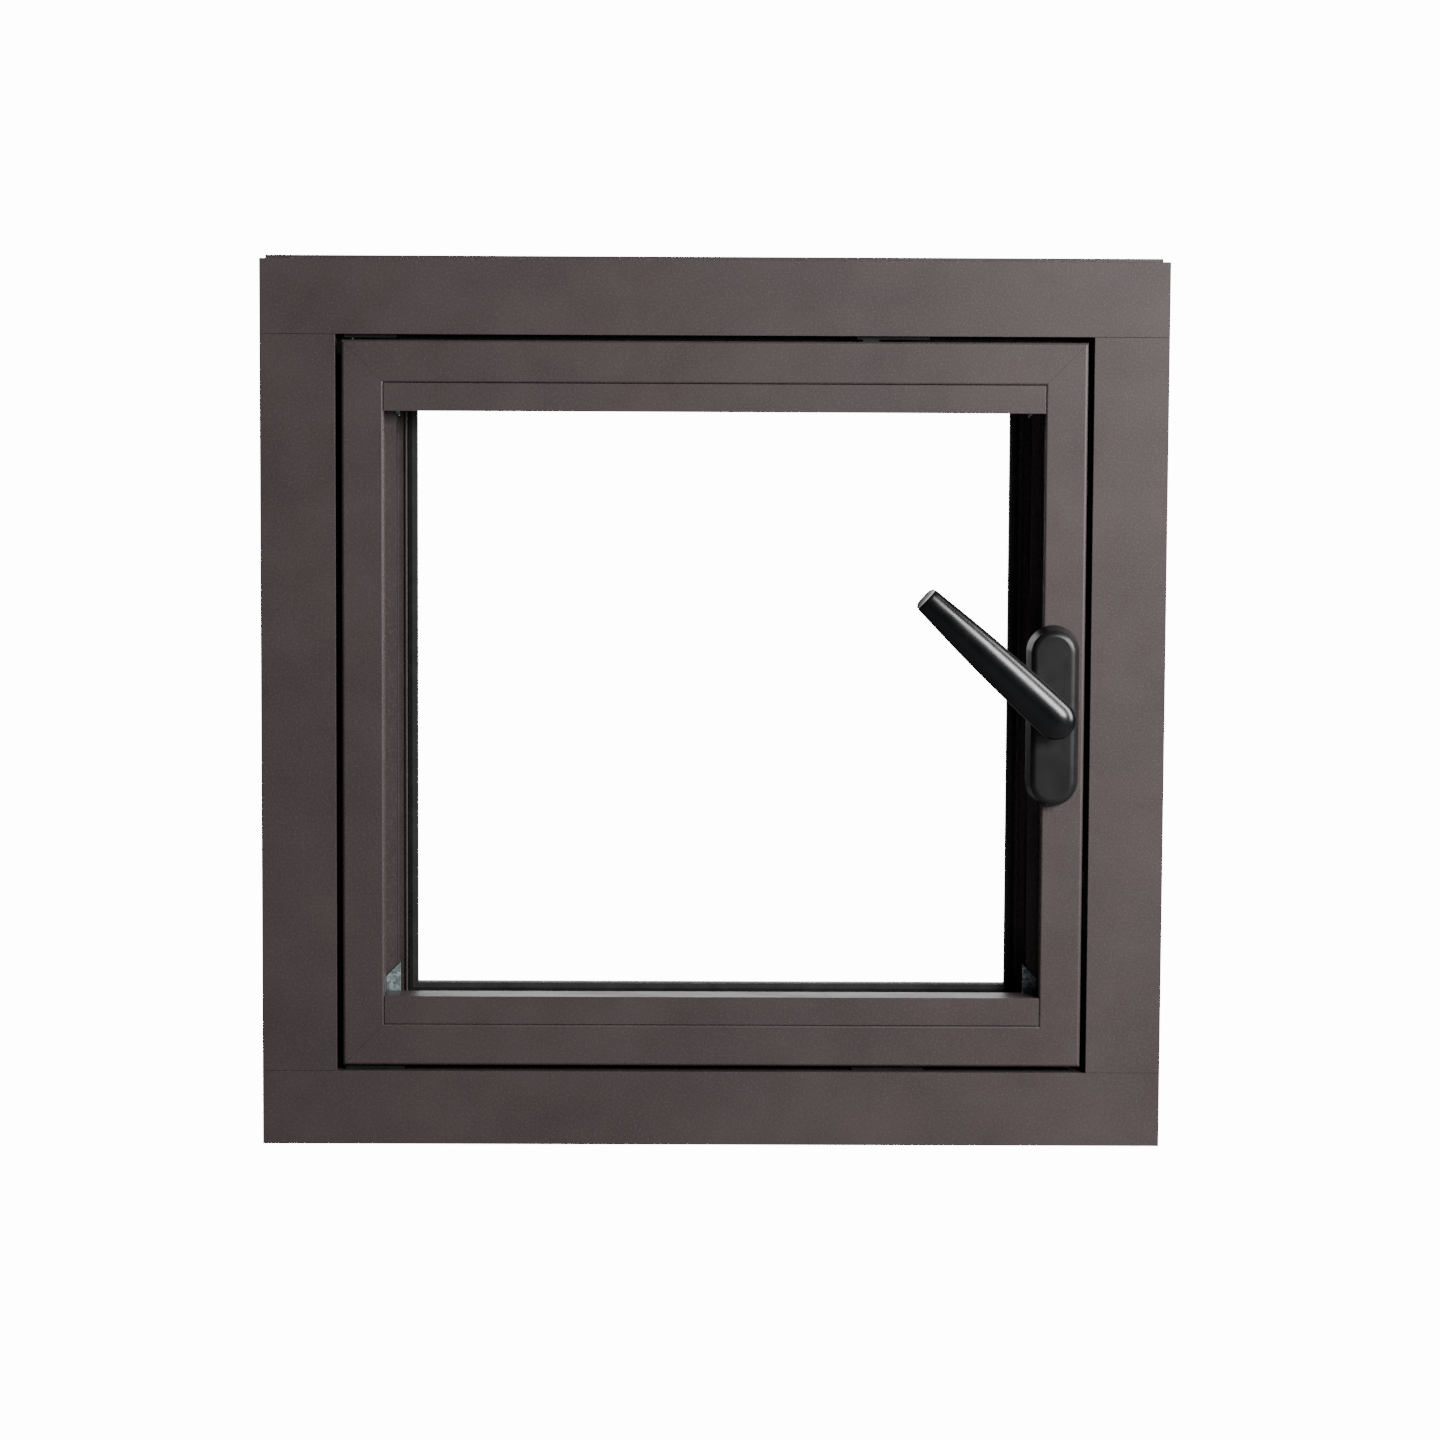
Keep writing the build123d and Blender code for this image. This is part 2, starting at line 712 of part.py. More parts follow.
# A keeper is a plate on the frame with a lip on its room side wherever the cam has to be held.
keeper_play = 0.5
keeper_length = 56.0
keeper_depth = 22.0
lock_zone_gap = cam_head_radius + 1.0
turn_position = handle_up_travel - math.radians(90) * pinion_radius
locked_zone = (turn_position + lock_zone_gap, handle_up_travel + cam_head_radius + 1.0)
tilt_zone = (-handle_down_travel - cam_head_radius - 1.0, -cam_head_radius - 0.8)
keeper_front = groove_y - cam_head_radius - keeper_play - keeper_lip


def keeper(side, distance, direction, zones):
    """Keeper opposite a cam that rests at a distance along a side; zones run in the given direction."""
    base = side_plane(side, frame_face)
    middle = distance + sash_gap
    with BuildSketch(base.offset(middle - keeper_length / 2)) as plate:
        with Locations((keeper_plate / 2, keeper_front + keeper_depth / 2)):
            Rectangle(keeper_plate, keeper_depth)
    extrude(plate.sketch, amount=keeper_length)
    for zone_low, zone_high in zones:
        zone_start = min(direction * zone_low, direction * zone_high)
        with BuildSketch(base.offset(middle + zone_start)) as lip:
            with Locations((keeper_plate + keeper_rise / 2, keeper_front + keeper_lip / 2)):
                Rectangle(keeper_rise, keeper_lip)
        extrude(lip.sketch, amount=zone_high - zone_low)


keeper_screw_radius = 1.9
keeper_screw_spacing = 46.0
keeper_screw_from_back = 6.0
keeper_screw_y = keeper_front + keeper_depth - keeper_screw_from_back
keeper_screw_head_radius = 1.8 * keeper_screw_radius
keeper_screw_head = 0.6 * keeper_screw_radius
keeper_spots = (
    ("right", sash_top - lock_cam_heights[0], -1, (locked_zone,)),
    ("right", sash_top - lock_cam_heights[1], -1, (locked_zone,)),
    ("head", level_cam_x + sash_right, -1, (locked_zone,)),
    ("sill", level_cam_from_edge, -1, (locked_zone, tilt_zone)),
)
for spot_number, keeper_name in enumerate(("lower_keeper", "upper_keeper", "head_keeper", "sill_keeper")):
    spot_side, spot_distance, spot_direction, spot_zones = keeper_spots[spot_number]
    with BuildPart() as keeper_piece:
        keeper(spot_side, spot_distance, spot_direction, spot_zones)
        for screw_end in (-1, 1):
            base = side_plane(spot_side, frame_face)
            screw_t = spot_distance + sash_gap + screw_end * keeper_screw_spacing / 2
            screw_foot = base.origin + base.z_dir * screw_t + Vector(0, keeper_screw_y, 0)
            with Locations(Plane(origin=screw_foot, z_dir=base.x_dir)):
                Cylinder(keeper_screw_radius + running_clearance, 4 * keeper_plate, mode=Mode.SUBTRACT)
    write(keeper_piece, keeper_name)

with BuildPart() as keeper_screws:
    for spot_side, spot_distance, spot_direction, spot_zones in keeper_spots:
        for screw_end in (-1, 1):
            base = side_plane(spot_side, frame_face)
            screw_t = spot_distance + sash_gap + screw_end * keeper_screw_spacing / 2
            screw_foot = base.origin + base.z_dir * screw_t + Vector(0, keeper_screw_y, 0)
            with BuildSketch(Plane(origin=screw_foot, x_dir=base.z_dir, z_dir=base.x_dir)):
                Circle(keeper_screw_radius)
            extrude(amount=keeper_plate)
            screw_seat = screw_foot + base.x_dir * keeper_plate
            with BuildSketch(Plane(origin=screw_seat, x_dir=base.z_dir, z_dir=base.x_dir)):
                Circle(keeper_screw_head_radius)
            extrude(amount=keeper_screw_head)
write(keeper_screws, "keeper_screws")

# ================================================================ lower pivot
# A barrel turns in an ear on the sill for the tilt, and its upright pin carries the sash for the turn.
ear_thickness = 4.0
ear_gap = 0.6
tilt = math.radians(tilt_limit)
lip_reach = (pivot_from_face - lip_thickness) * math.cos(tilt) - pivot_from_sash_edge * math.sin(tilt)
ear_half_depth = lip_reach - moving_clearance
ear_top = 3.4
pivot_base_thickness = 3.0
trunnion_radius = 2.0
barrel_half_length = 2.8
pivot_base_left = 6.0
pivot_base_right = 40.0
pivot_base_depth = 20.0
pivot_floor_z = frame_face
trunnion_overrun = 0.5
pin_projection = 4.0
ear_low_x = pivot_x + barrel_half_length + ear_gap

with BuildPart() as lower_bracket:
    with Locations((
        pivot_x + (pivot_base_right - pivot_base_left) / 2,
        pivot_y + pivot_base_depth / 2 - ear_half_depth,
        pivot_floor_z + pivot_base_thickness / 2,
    )):
        Box(pivot_base_right + pivot_base_left, pivot_base_depth, pivot_base_thickness)
    ear_height = pivot_z + ear_top - pivot_floor_z
    with Locations((ear_low_x + ear_thickness / 2, pivot_y, pivot_floor_z + ear_height / 2)):
        Box(ear_thickness, 2 * ear_half_depth, ear_height)
    with Locations(Plane(origin=(ear_low_x, pivot_y, pivot_z), z_dir=(1, 0, 0))):
        Cylinder(trunnion_radius + running_clearance, 4 * ear_thickness, mode=Mode.SUBTRACT)
write(lower_bracket, "lower_pivot_bracket")

with BuildPart() as pivot_block:
    with BuildSketch(Plane(origin=(pivot_x - barrel_half_length, pivot_y, pivot_z), z_dir=(1, 0, 0))):
        Circle(barrel_radius)
    extrude(amount=2 * barrel_half_length)
    with BuildSketch(Plane(origin=(pivot_x, pivot_y, pivot_z), z_dir=(1, 0, 0))):
        Circle(trunnion_radius)
    extrude(amount=barrel_half_length + ear_gap + ear_thickness + trunnion_overrun)
    with BuildSketch(Plane(origin=(pivot_x, pivot_y, pivot_z), z_dir=(0, 0, 1))):
        Circle(pivot_pin_radius)
    extrude(amount=pivot_pin_length + pin_projection)
write(pivot_block, "pivot_block")

bearing_wall = 1.6
bearing_rise = 6.0
bearing_overrun = 2.0
bearing_trim = 10.0
bearing_low = pivot_z + bearing_rise
bearing_high = pivot_z + pivot_pin_length + bearing_overrun
bearing_radius = pivot_pin_radius + bearing_wall
with BuildPart() as sash_bearing:
    bearing_seat_x = pivot_x + groove_top - pivot_from_sash_edge
    with BuildSketch(Plane.XY.offset(bearing_low)):
        with Locations((pivot_x, pivot_y)):
            Circle(bearing_radius)
        bearing_out = hook_out + groove_hook
        with Locations(((pivot_x + bearing_seat_x) / 2, (pivot_y + bearing_out) / 2)):
            Rectangle(bearing_seat_x - pivot_x, bearing_out - pivot_y)
        with Locations((pivot_x, pivot_y)):
            Circle(pivot_pin_radius + running_clearance, mode=Mode.SUBTRACT)
    extrude(amount=bearing_high - bearing_low)
    with Locations((bearing_seat_x + bearing_trim / 2, pivot_y, (bearing_low + bearing_high) / 2)):
        Box(bearing_trim, frame_depth, 2 * bearing_high, mode=Mode.SUBTRACT)
write(sash_bearing, "sash_pivot_bearing")

# ================================================================ upper pivot and stay
# A pin hangs from a plate under the head. The stay's slotted eye stays round it in every position.
upper_plate_thickness = 3.0
upper_plate_right = 34.0
upper_plate_out = 16.0
head_underside = frame_height - frame_face
stay_top_z = sash_top - stay_below_sash_edge
stay_low_z = stay_top_z - stay_thickness
upper_pin_projection = 1.4
upper_pin_low = stay_low_z - upper_pin_projection
with BuildPart() as upper_bracket:
    with Locations((
        pivot_x + (upper_plate_right - pivot_base_left) / 2,
        pivot_y + (upper_plate_out - barrel_radius) / 2,
        head_underside - upper_plate_thickness / 2,
    )):
        Box(upper_plate_right + pivot_base_left, upper_plate_out + barrel_radius, upper_plate_thickness)
    with BuildSketch(Plane.XY.offset(upper_pin_low)):
        with Locations((pivot_x, pivot_y)):
            Circle(upper_pin_radius)
    extrude(amount=head_underside - upper_plate_thickness - upper_pin_low)
write(upper_bracket, "upper_pivot_bracket")

stud_x = pivot_x + stay_length
stud_y = groove_y
stud_radius = 3.0
eye_half_width = upper_pin_radius + stay_slot_play
eye_wall = 1.5
eye_radius = eye_half_width + eye_wall
stud_projection = 1.0
stay_end_radius = 6.0
with BuildPart() as stay_arm:
    with BuildSketch(Plane.XY.offset(stay_low_z)):
        with BuildLine():
            Polyline(
                (pivot_x, pivot_y - eye_radius),
                (stud_x, stud_y - stay_end_radius),
                (stud_x, stud_y + stay_end_radius),
                (pivot_x, pivot_y + eye_radius),
                close=True,
            )
        make_face()
        with Locations((pivot_x, pivot_y)):
            Circle(eye_radius)
        with Locations((stud_x, stud_y)):
            Circle(stay_end_radius)
        with Locations((stud_x, stud_y)):
            Circle(stud_radius + running_clearance, mode=Mode.SUBTRACT)
        with Locations((pivot_x + stay_slot_run / 2, pivot_y)):
            SlotCenterToCenter(stay_slot_run, 2 * eye_half_width, mode=Mode.SUBTRACT)
    extrude(amount=stay_thickness)
write(stay_arm, "stay_arm")

shoe_length = 44.0
shoe_neck_width = groove_width - 2 * groove_hook - 2 * moving_clearance
with BuildPart() as stay_slider:
    shoe_t = stud_x + sash_right
    rod_bar("head", shoe_t - shoe_length / 2, shoe_t + shoe_length / 2)
    neck_top_z = sash_top - stay_below_sash_edge - stay_thickness - moving_clearance
    neck_low_z = sash_top - rod_top - rod_thickness / 2
    with Locations((stud_x, stud_y, (neck_top_z + neck_low_z) / 2)):
        Box(2 * stay_end_radius, shoe_neck_width, neck_top_z - neck_low_z)
    with BuildSketch(Plane(origin=(stud_x, stud_y, neck_low_z))):
        Circle(stud_radius)
    extrude(amount=stay_top_z + stud_projection - neck_low_z)
write(stay_slider, "stay_slider")

# ================================================================ handle
plate_front = room_face - plate_thickness
base_front = room_face - base_thickness
gear_room = 3.0
gear_end_play = 0.3
gear_back = room_face - base_thickness - gear_room
gear_front = gear_back - gear_thickness
plate_middle_z = spindle_z + (plate_above_spindle - plate_below_spindle) / 2
plate_height = plate_above_spindle + plate_below_spindle
pitch_x = spindle_x + pinion_radius
rack_back_thickness = 5.0
rack_back_x = pitch_x + rack_back_thickness
addendum = 0.75 * pinion_module
dedendum = 1.1 * pinion_module
tooth_backlash = 0.42
pressure_angle = 20.0
rack_overrun = 6.0
prong_lap = 1.0
guide_thickness = 1.6
guide_height = 70.0
base_play = 0.3
cover_radius = 3.0


def handle_plane(y):
    """Plane parallel to the face at a depth, drawn as seen from the room and facing the room."""
    return Plane(origin=(spindle_x, y, spindle_z), x_dir=(1, 0, 0), z_dir=(0, -1, 0))


base_step = cover_wall + base_play + cover_draft * base_thickness / plate_thickness
with BuildPart() as handle_base:
    with BuildSketch(handle_plane(room_face)):
        with Locations((0, plate_middle_z - spindle_z)):
            SlotOverall(plate_height - 2 * base_step, plate_width - 2 * base_step, 90)
        Circle(spindle_square / 2 + running_clearance, mode=Mode.SUBTRACT)
        with Locations((prong_x - spindle_x, (slot_low + slot_high) / 2 - spindle_z)):
            Rectangle(slot_width, slot_high - slot_low, mode=Mode.SUBTRACT)
        with Locations((0, handle_screw_up), (0, -handle_screw_down)):
            Circle(handle_screw_radius + running_clearance, mode=Mode.SUBTRACT)
    extrude(amount=base_thickness)
    with BuildSketch(handle_plane(base_front)):
        with Locations((rack_back_x + moving_clearance + guide_thickness / 2 - spindle_x, 0)):
            Rectangle(guide_thickness, guide_height)
    extrude(amount=gear_room + gear_thickness)
write(handle_base, "handle_base")

with BuildPart() as handle_cover:
    for cover_y, cover_inset in ((room_face, 0.0), (plate_front, cover_draft)):
        with BuildSketch(handle_plane(cover_y)):
            with Locations((0, plate_middle_z - spindle_z)):
                SlotOverall(plate_height - 2 * cover_inset, plate_width - 2 * cover_inset, 90)
    loft()
    fillet(handle_cover.faces().sort_by(Axis.Y)[0].edges(), cover_radius)
    for cover_y, cover_inset in ((room_face, 0.0), (plate_front + cover_wall, cover_draft)):
        inner_inset = cover_inset + cover_wall
        with BuildSketch(handle_plane(cover_y)):
            with Locations((0, plate_middle_z - spindle_z)):
                SlotOverall(plate_height - 2 * inner_inset, plate_width - 2 * inner_inset, 90)
    loft(mode=Mode.SUBTRACT)
    with BuildSketch(handle_plane(room_face)):
        Circle(neck_radius + moving_clearance)
    extrude(amount=plate_thickness, mode=Mode.SUBTRACT)
write(handle_cover, "handle_cover")

with BuildPart() as handle_screws:
    for screw_up in (handle_screw_up, -handle_screw_down):
        screw_seat = handle_plane(base_front).origin + Vector(0, 0, screw_up)
        with BuildSketch(Plane(origin=screw_seat, x_dir=(1, 0, 0), z_dir=(0, 1, 0))):
            Circle(handle_screw_radius)
        extrude(amount=handle_screw_grip)
        with BuildSketch(Plane(origin=screw_seat, x_dir=(1, 0, 0), z_dir=(0, -1, 0))):
            Circle(2 * handle_screw_radius)
        extrude(amount=handle_screw_radius)
write(handle_screws, "handle_screws")

with BuildPart() as drive_rack:
    tooth_pitch = math.pi * pinion_module
    flank = math.tan(math.radians(pressure_angle))
    rack_low = -handle_up_travel - rack_overrun
    rack_high = handle_down_travel + rack_overrun
    with BuildSketch(handle_plane(gear_back)):
        root_x = pinion_radius + dedendum
        with Locations(((root_x + rack_back_x - spindle_x) / 2, (rack_low + rack_high) / 2)):
            Rectangle(rack_back_x - spindle_x - root_x, rack_high - rack_low)
        tip_half = tooth_pitch / 4 - tooth_backlash / 2 - addendum * flank
        root_half = tooth_pitch / 4 - tooth_backlash / 2 + dedendum * flank
        first_tooth = math.ceil((rack_low + root_half) / tooth_pitch)
        last_tooth = math.floor((rack_high - root_half) / tooth_pitch)
        for tooth in range(first_tooth, last_tooth + 1):
            tooth_z = tooth * tooth_pitch
            with BuildLine():
                Polyline(
                    (root_x, tooth_z - root_half),
                    (pinion_radius - addendum, tooth_z - tip_half),
                    (pinion_radius - addendum, tooth_z + tip_half),
                    (root_x, tooth_z + root_half),
                    close=True,
                )
            make_face()
    extrude(amount=gear_thickness)
    prong_back = hook_room + rod_width / 2 - running_clearance
    with Locations((prong_x, (gear_back - prong_lap + prong_back) / 2, spindle_z - prong_below_spindle)):
        Box(prong_thickness, prong_back - gear_back + prong_lap, prong_width)
write(drive_rack, "drive_rack")


def involute_tooth(centre_angle):
    """Flank points of one pinion tooth, thinned for backlash, as (x, y) from the pinion's centre."""
    base_radius = pinion_radius * math.cos(math.radians(pressure_angle))
    pitch_involute = math.tan(math.radians(pressure_angle)) - math.radians(pressure_angle)
    half_at_pitch = math.pi / (2 * pinion_teeth) - tooth_backlash / (2 * pinion_radius)
    root_radius = pinion_radius - dedendum
    flank_points = [(root_radius - 0.3, half_at_pitch + pitch_involute)]
    steps = 5
    for step in range(steps + 1):
        radius = base_radius + (pinion_radius + addendum - base_radius) * step / steps
        turn = math.acos(min(1.0, base_radius / radius))
        flank_points.append((radius, half_at_pitch + pitch_involute - (math.tan(turn) - turn)))
    upper = [(r * math.cos(centre_angle + a), r * math.sin(centre_angle + a)) for r, a in flank_points]
    lower = [(r * math.cos(centre_angle - a), r * math.sin(centre_angle - a)) for r, a in flank_points]
    return upper + lower[::-1]


with BuildPart() as pinion:
    with BuildSketch(handle_plane(gear_back)):
        Circle(pinion_radius - dedendum)
        for tooth in range(pinion_teeth):
            with BuildLine():
                Polyline(*involute_tooth((tooth + 0.5) * 2 * math.pi / pinion_teeth), close=True)
            make_face()
        bore_square = spindle_square + running_clearance
        Rectangle(bore_square, bore_square, mode=Mode.SUBTRACT)
    extrude(amount=gear_thickness)
write(pinion, "pinion")

# The lever is cast in one piece with its neck and its square spindle.
lean = math.radians(lever_rest_angle)
arm_direction = Vector(-math.cos(lean), 0, math.sin(lean))
arm_across = Vector(math.sin(lean), 0, math.cos(lean))
lever_middle_y = room_face - lever_stand_off
arm_sections = (
    (0.0, 31.0, 16.0, 0.0),
    (0.35, 30.0, 15.5, 1.0),
    (0.7, 26.5, 13.5, 1.0),
    (1.0, 21.0, 11.5, 0.0),
)
arm_corner_share = 0.42
hub_edge_radius = 4.0
spindle_end = 0.5


def arm_plane(distance, forward):
    """Plane across the lever's arm at a distance from the spindle."""
    middle = Vector(spindle_x, lever_middle_y - forward, spindle_z) + arm_direction * distance
    return Plane(origin=middle, x_dir=arm_across, z_dir=arm_direction)


with BuildPart() as lever:
    for share, width, thickness, forward in arm_sections:
        with BuildSketch(arm_plane(share * lever_length, forward)):
            RectangleRounded(width, thickness, arm_corner_share * thickness)
    loft()
    with BuildSketch(handle_plane(lever_middle_y + hub_thickness / 2)):
        Circle(hub_radius)
    extrude(amount=hub_thickness)
    fillet(lever.faces().sort_by(Axis.Y)[0].edges().filter_by(GeomType.CIRCLE), hub_edge_radius)
    with BuildSketch(handle_plane(gear_front - gear_end_play)):
        Circle(neck_radius)
    extrude(amount=gear_front - gear_end_play - lever_middle_y)
    with BuildSketch(handle_plane(base_front - spindle_end)):
        Rectangle(spindle_square, spindle_square)
    extrude(amount=base_front + spindle_end - gear_front)
    with BuildSketch(handle_plane(room_face - spindle_end)):
        Circle(spindle_square / 2)
    extrude(amount=base_thickness + 2 * spindle_end)
write(lever, "lever")

cap_taper = 2.5
with BuildPart() as lever_end_cap:
    tip_width, tip_thickness = arm_sections[-1][1:3]
    with BuildSketch(arm_plane(lever_length, 0.0)):
        RectangleRounded(tip_width, tip_thickness, arm_corner_share * tip_thickness)
    with BuildSketch(arm_plane(lever_length + end_cap_length, 0.0)):
        cap_thickness = tip_thickness - cap_taper
        RectangleRounded(tip_width - cap_taper, cap_thickness, arm_corner_share * cap_thickness)
    loft()
write(lever_end_cap, "lever_end_cap")

collar_gap = 0.3
collar_edge_radius = 1.2
with BuildPart() as lever_collar:
    with BuildSketch(handle_plane(plate_front - collar_gap)):
        Circle(collar_radius)
        Circle(neck_radius + running_clearance, mode=Mode.SUBTRACT)
    extrude(amount=collar_thickness)
    fillet(lever_collar.faces().sort_by(Axis.Y)[0].edges().sort_by(SortBy.LENGTH)[-1], collar_edge_radius)
write(lever_collar, "lever_collar")

# ================================================================ motion worked out from the sizes
pin_shift = (stay_top_z - stay_thickness / 2 - pivot_z) * math.tan(tilt)
stud_offset = stud_y - pivot_y
eye_reach = math.hypot(stay_length, stud_offset)
eye_start = math.atan2(stud_offset, stay_length)
stay_swing = math.asin((pin_shift - stud_offset) / eye_reach) + eye_start
slider_run = stay_length - eye_reach * math.cos(stay_swing - eye_start)
print("turn axis", pivot_x, pivot_y, "tilt axis z", pivot_z)
print("spindle", spindle_x, spindle_z, "stud", stud_x, stud_y)
print("stay swing per tilt", -stay_swing / tilt, "slider run per tilt (m/rad)", -slider_run / tilt / 1000)
print("lock rod travel", -handle_down_travel, handle_up_travel)
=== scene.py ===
"""Looks of a tilt-and-turn casement window in powder-coated aluminium, in metres."""
import json
import math

import bmesh
import bpy
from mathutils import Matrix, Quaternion, Vector

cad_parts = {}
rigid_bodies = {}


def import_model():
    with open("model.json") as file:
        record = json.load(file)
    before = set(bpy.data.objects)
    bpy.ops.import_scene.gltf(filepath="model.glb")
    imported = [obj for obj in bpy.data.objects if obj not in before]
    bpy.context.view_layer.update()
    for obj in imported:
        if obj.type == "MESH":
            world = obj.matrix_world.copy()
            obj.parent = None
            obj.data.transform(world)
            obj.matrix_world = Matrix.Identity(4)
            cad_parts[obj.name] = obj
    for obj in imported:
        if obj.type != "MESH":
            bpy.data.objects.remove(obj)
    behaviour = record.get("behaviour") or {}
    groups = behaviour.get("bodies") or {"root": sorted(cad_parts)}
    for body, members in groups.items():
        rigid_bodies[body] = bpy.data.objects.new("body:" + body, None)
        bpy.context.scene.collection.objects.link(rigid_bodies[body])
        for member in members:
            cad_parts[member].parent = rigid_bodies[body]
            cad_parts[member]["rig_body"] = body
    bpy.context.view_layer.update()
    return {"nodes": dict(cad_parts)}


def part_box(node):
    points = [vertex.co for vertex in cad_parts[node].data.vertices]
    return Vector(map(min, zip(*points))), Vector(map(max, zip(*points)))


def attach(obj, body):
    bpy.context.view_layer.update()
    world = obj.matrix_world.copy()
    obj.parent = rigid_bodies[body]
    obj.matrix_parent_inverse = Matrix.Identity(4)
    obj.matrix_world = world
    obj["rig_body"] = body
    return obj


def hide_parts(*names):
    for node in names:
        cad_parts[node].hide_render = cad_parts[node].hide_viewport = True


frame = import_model()
nodes = frame["nodes"]
scene = bpy.context.scene

# ---- Camera -------------------------------------------------------------------------------------
# A long lens more than four metres into the room, a little above the window and to the left of
# its middle, looking slightly down. Everything is sharp.
room_face_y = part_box("frame_head_inner")[0].y
camera_data = bpy.data.cameras.new("camera")
camera_data.sensor_width = 36.0
camera_data.lens = 138.4
camera_data.clip_end = 60.0
camera_distance = 4.2574
camera = bpy.data.objects.new("camera", camera_data)
scene.collection.objects.link(camera)
camera.location = (-0.0408, room_face_y - camera_distance, 0.8446)
camera_pitch = math.radians(6.83)
camera_yaw = math.radians(-0.62)
camera_roll = math.radians(0.30)
looking = Vector((
    -math.sin(camera_yaw) * math.cos(camera_pitch),
    math.cos(camera_yaw) * math.cos(camera_pitch),
    -math.sin(camera_pitch),
))
camera.rotation_mode = "QUATERNION"
camera.rotation_quaternion = Quaternion(looking, -camera_roll) @ looking.to_track_quat("-Z", "Y")
scene.camera = camera

# ---- Room: floor, backdrop and lights -----------------------------------------------------------
# A studio whose floor and backdrop look white to the camera but light almost nothing. The key light
# is a soft box at the front right, so the bars get darker towards the left and the bottom.
backdrop_glow = 14.0
backdrop_light = 0.025
floor_drop = 0.35
floor_half = 6.0
floor_mesh = bpy.data.meshes.new("floor")
floor_mesh.from_pydata(
    [
        (x * floor_half, y * floor_half, -floor_drop)
        for x, y in ((-1, -1), (1, -1), (1, 1), (-1, 1))
    ],
    [],
    [(0, 1, 2, 3)],
)
floor = bpy.data.objects.new("floor", floor_mesh)
scene.collection.objects.link(floor)
floor_paint = bpy.data.materials.new("studio_floor")
floor_paint.use_nodes = True
floor_shader = floor_paint.node_tree.nodes["Principled BSDF"]
floor_shader.inputs["Base Color"].default_value = (0.25, 0.25, 0.25, 1)
floor_shader.inputs["Roughness"].default_value = 0.9
floor_shader.inputs["Emission Color"].default_value = (1, 1, 1, 1)
floor_sight = floor_paint.node_tree.nodes.new("ShaderNodeLightPath")
floor_glow = floor_paint.node_tree.nodes.new("ShaderNodeMath")
floor_glow.operation = "MULTIPLY"
floor_glow.inputs[1].default_value = backdrop_glow
floor_paint.node_tree.links.new(floor_sight.outputs["Is Camera Ray"], floor_glow.inputs[0])
floor_paint.node_tree.links.new(floor_glow.outputs[0], floor_shader.inputs["Emission Strength"])
floor_mesh.materials.append(floor_paint)

world = bpy.data.worlds.new("studio")
scene.world = world
world.use_nodes = True
sky = world.node_tree.nodes["Background"]
sky_sight = world.node_tree.nodes.new("ShaderNodeLightPath")
sky_level = world.node_tree.nodes.new("ShaderNodeMapRange")
sky_level.inputs["To Min"].default_value = backdrop_light
sky_level.inputs["To Max"].default_value = backdrop_glow
world.node_tree.links.new(sky_sight.outputs["Is Camera Ray"], sky_level.inputs["Value"])
world.node_tree.links.new(sky_level.outputs["Result"], sky.inputs["Strength"])
sky.inputs["Color"].default_value = (1, 1, 1, 1)


def soft_box(name, place, target, width, height, watts):
    """A white rectangular area light aimed at a point."""
    lamp_data = bpy.data.lights.new(name, "AREA")
    lamp_data.shape = "RECTANGLE"
    lamp_data.size = width
    lamp_data.size_y = height
    lamp_data.energy = watts
    lamp = bpy.data.objects.new(name, lamp_data)
    scene.collection.objects.link(lamp)
    lamp.location = place
    aim = Vector(target) - Vector(place)
    lamp.rotation_euler = aim.to_track_quat("-Z", "Y").to_euler()


soft_box("key_light", (1.60, -2.60, 1.30), (0.05, 0.0, 0.38), width=0.6, height=0.9, watts=86.0)
soft_box("side_light", (1.35, -0.62, 0.85), (0.10, 0.0, 0.36), width=0.4, height=0.9, watts=29.0)
soft_box("back_light", (0.2, 2.3, 0.75), (0.0, 0.0, 0.35), width=2.6, height=1.2, watts=30.0)

# ---- Powder-coated bars of the frame ------------------------------------------------------------
# Extruded aluminium with a fine-textured umber powder coat. Saw cuts at the ends of the head and
# the sill, and the inside of their chambers, are bare metal; the coat is thinner on the edges, and
# the lighter, shinier coat given to the bevelled edges is also a painted highlight.


def shader_group(name, inputs, outputs):
    """An empty shader group with float inputs (name: value) and typed outputs, and its end nodes."""
    group = bpy.data.node_groups.new(name, "ShaderNodeTree")
    for socket, value in inputs.items():
        made = group.interface.new_socket(socket, in_out="INPUT", socket_type="NodeSocketFloat")
        made.default_value = value
    for socket, kind in outputs.items():
        group.interface.new_socket(socket, in_out="OUTPUT", socket_type=kind)
    return group, group.nodes.new("NodeGroupInput"), group.nodes.new("NodeGroupOutput")


def mapped_noise(group, scale_socket, stretch, detail, roughness=0.55):
    """Noise on object coordinates, stretched along an axis, with its scale from a socket."""
    place = group.nodes.new("ShaderNodeTexCoord")
    stretcher = group.nodes.new("ShaderNodeMapping")
    stretcher.inputs["Scale"].default_value = stretch
    noise = group.nodes.new("ShaderNodeTexNoise")
    noise.inputs["Detail"].default_value = detail
    noise.inputs["Roughness"].default_value = roughness
    group.links.new(place.outputs["Object"], stretcher.inputs["Vector"])
    group.links.new(stretcher.outputs["Vector"], noise.inputs["Vector"])
    group.links.new(scale_socket, noise.inputs["Scale"])
    return noise


def remap(group, value, low, high, to_low, to_high):
    """Map a value between two limits on to two others."""
    mapper = group.nodes.new("ShaderNodeMapRange")
    mapper.inputs["From Min"].default_value = low
    mapper.inputs["From Max"].default_value = high
    mapper.inputs["To Min"].default_value = to_low
    mapper.inputs["To Max"].default_value = to_high
    group.links.new(value, mapper.inputs["Value"])
    return mapper.outputs["Result"]


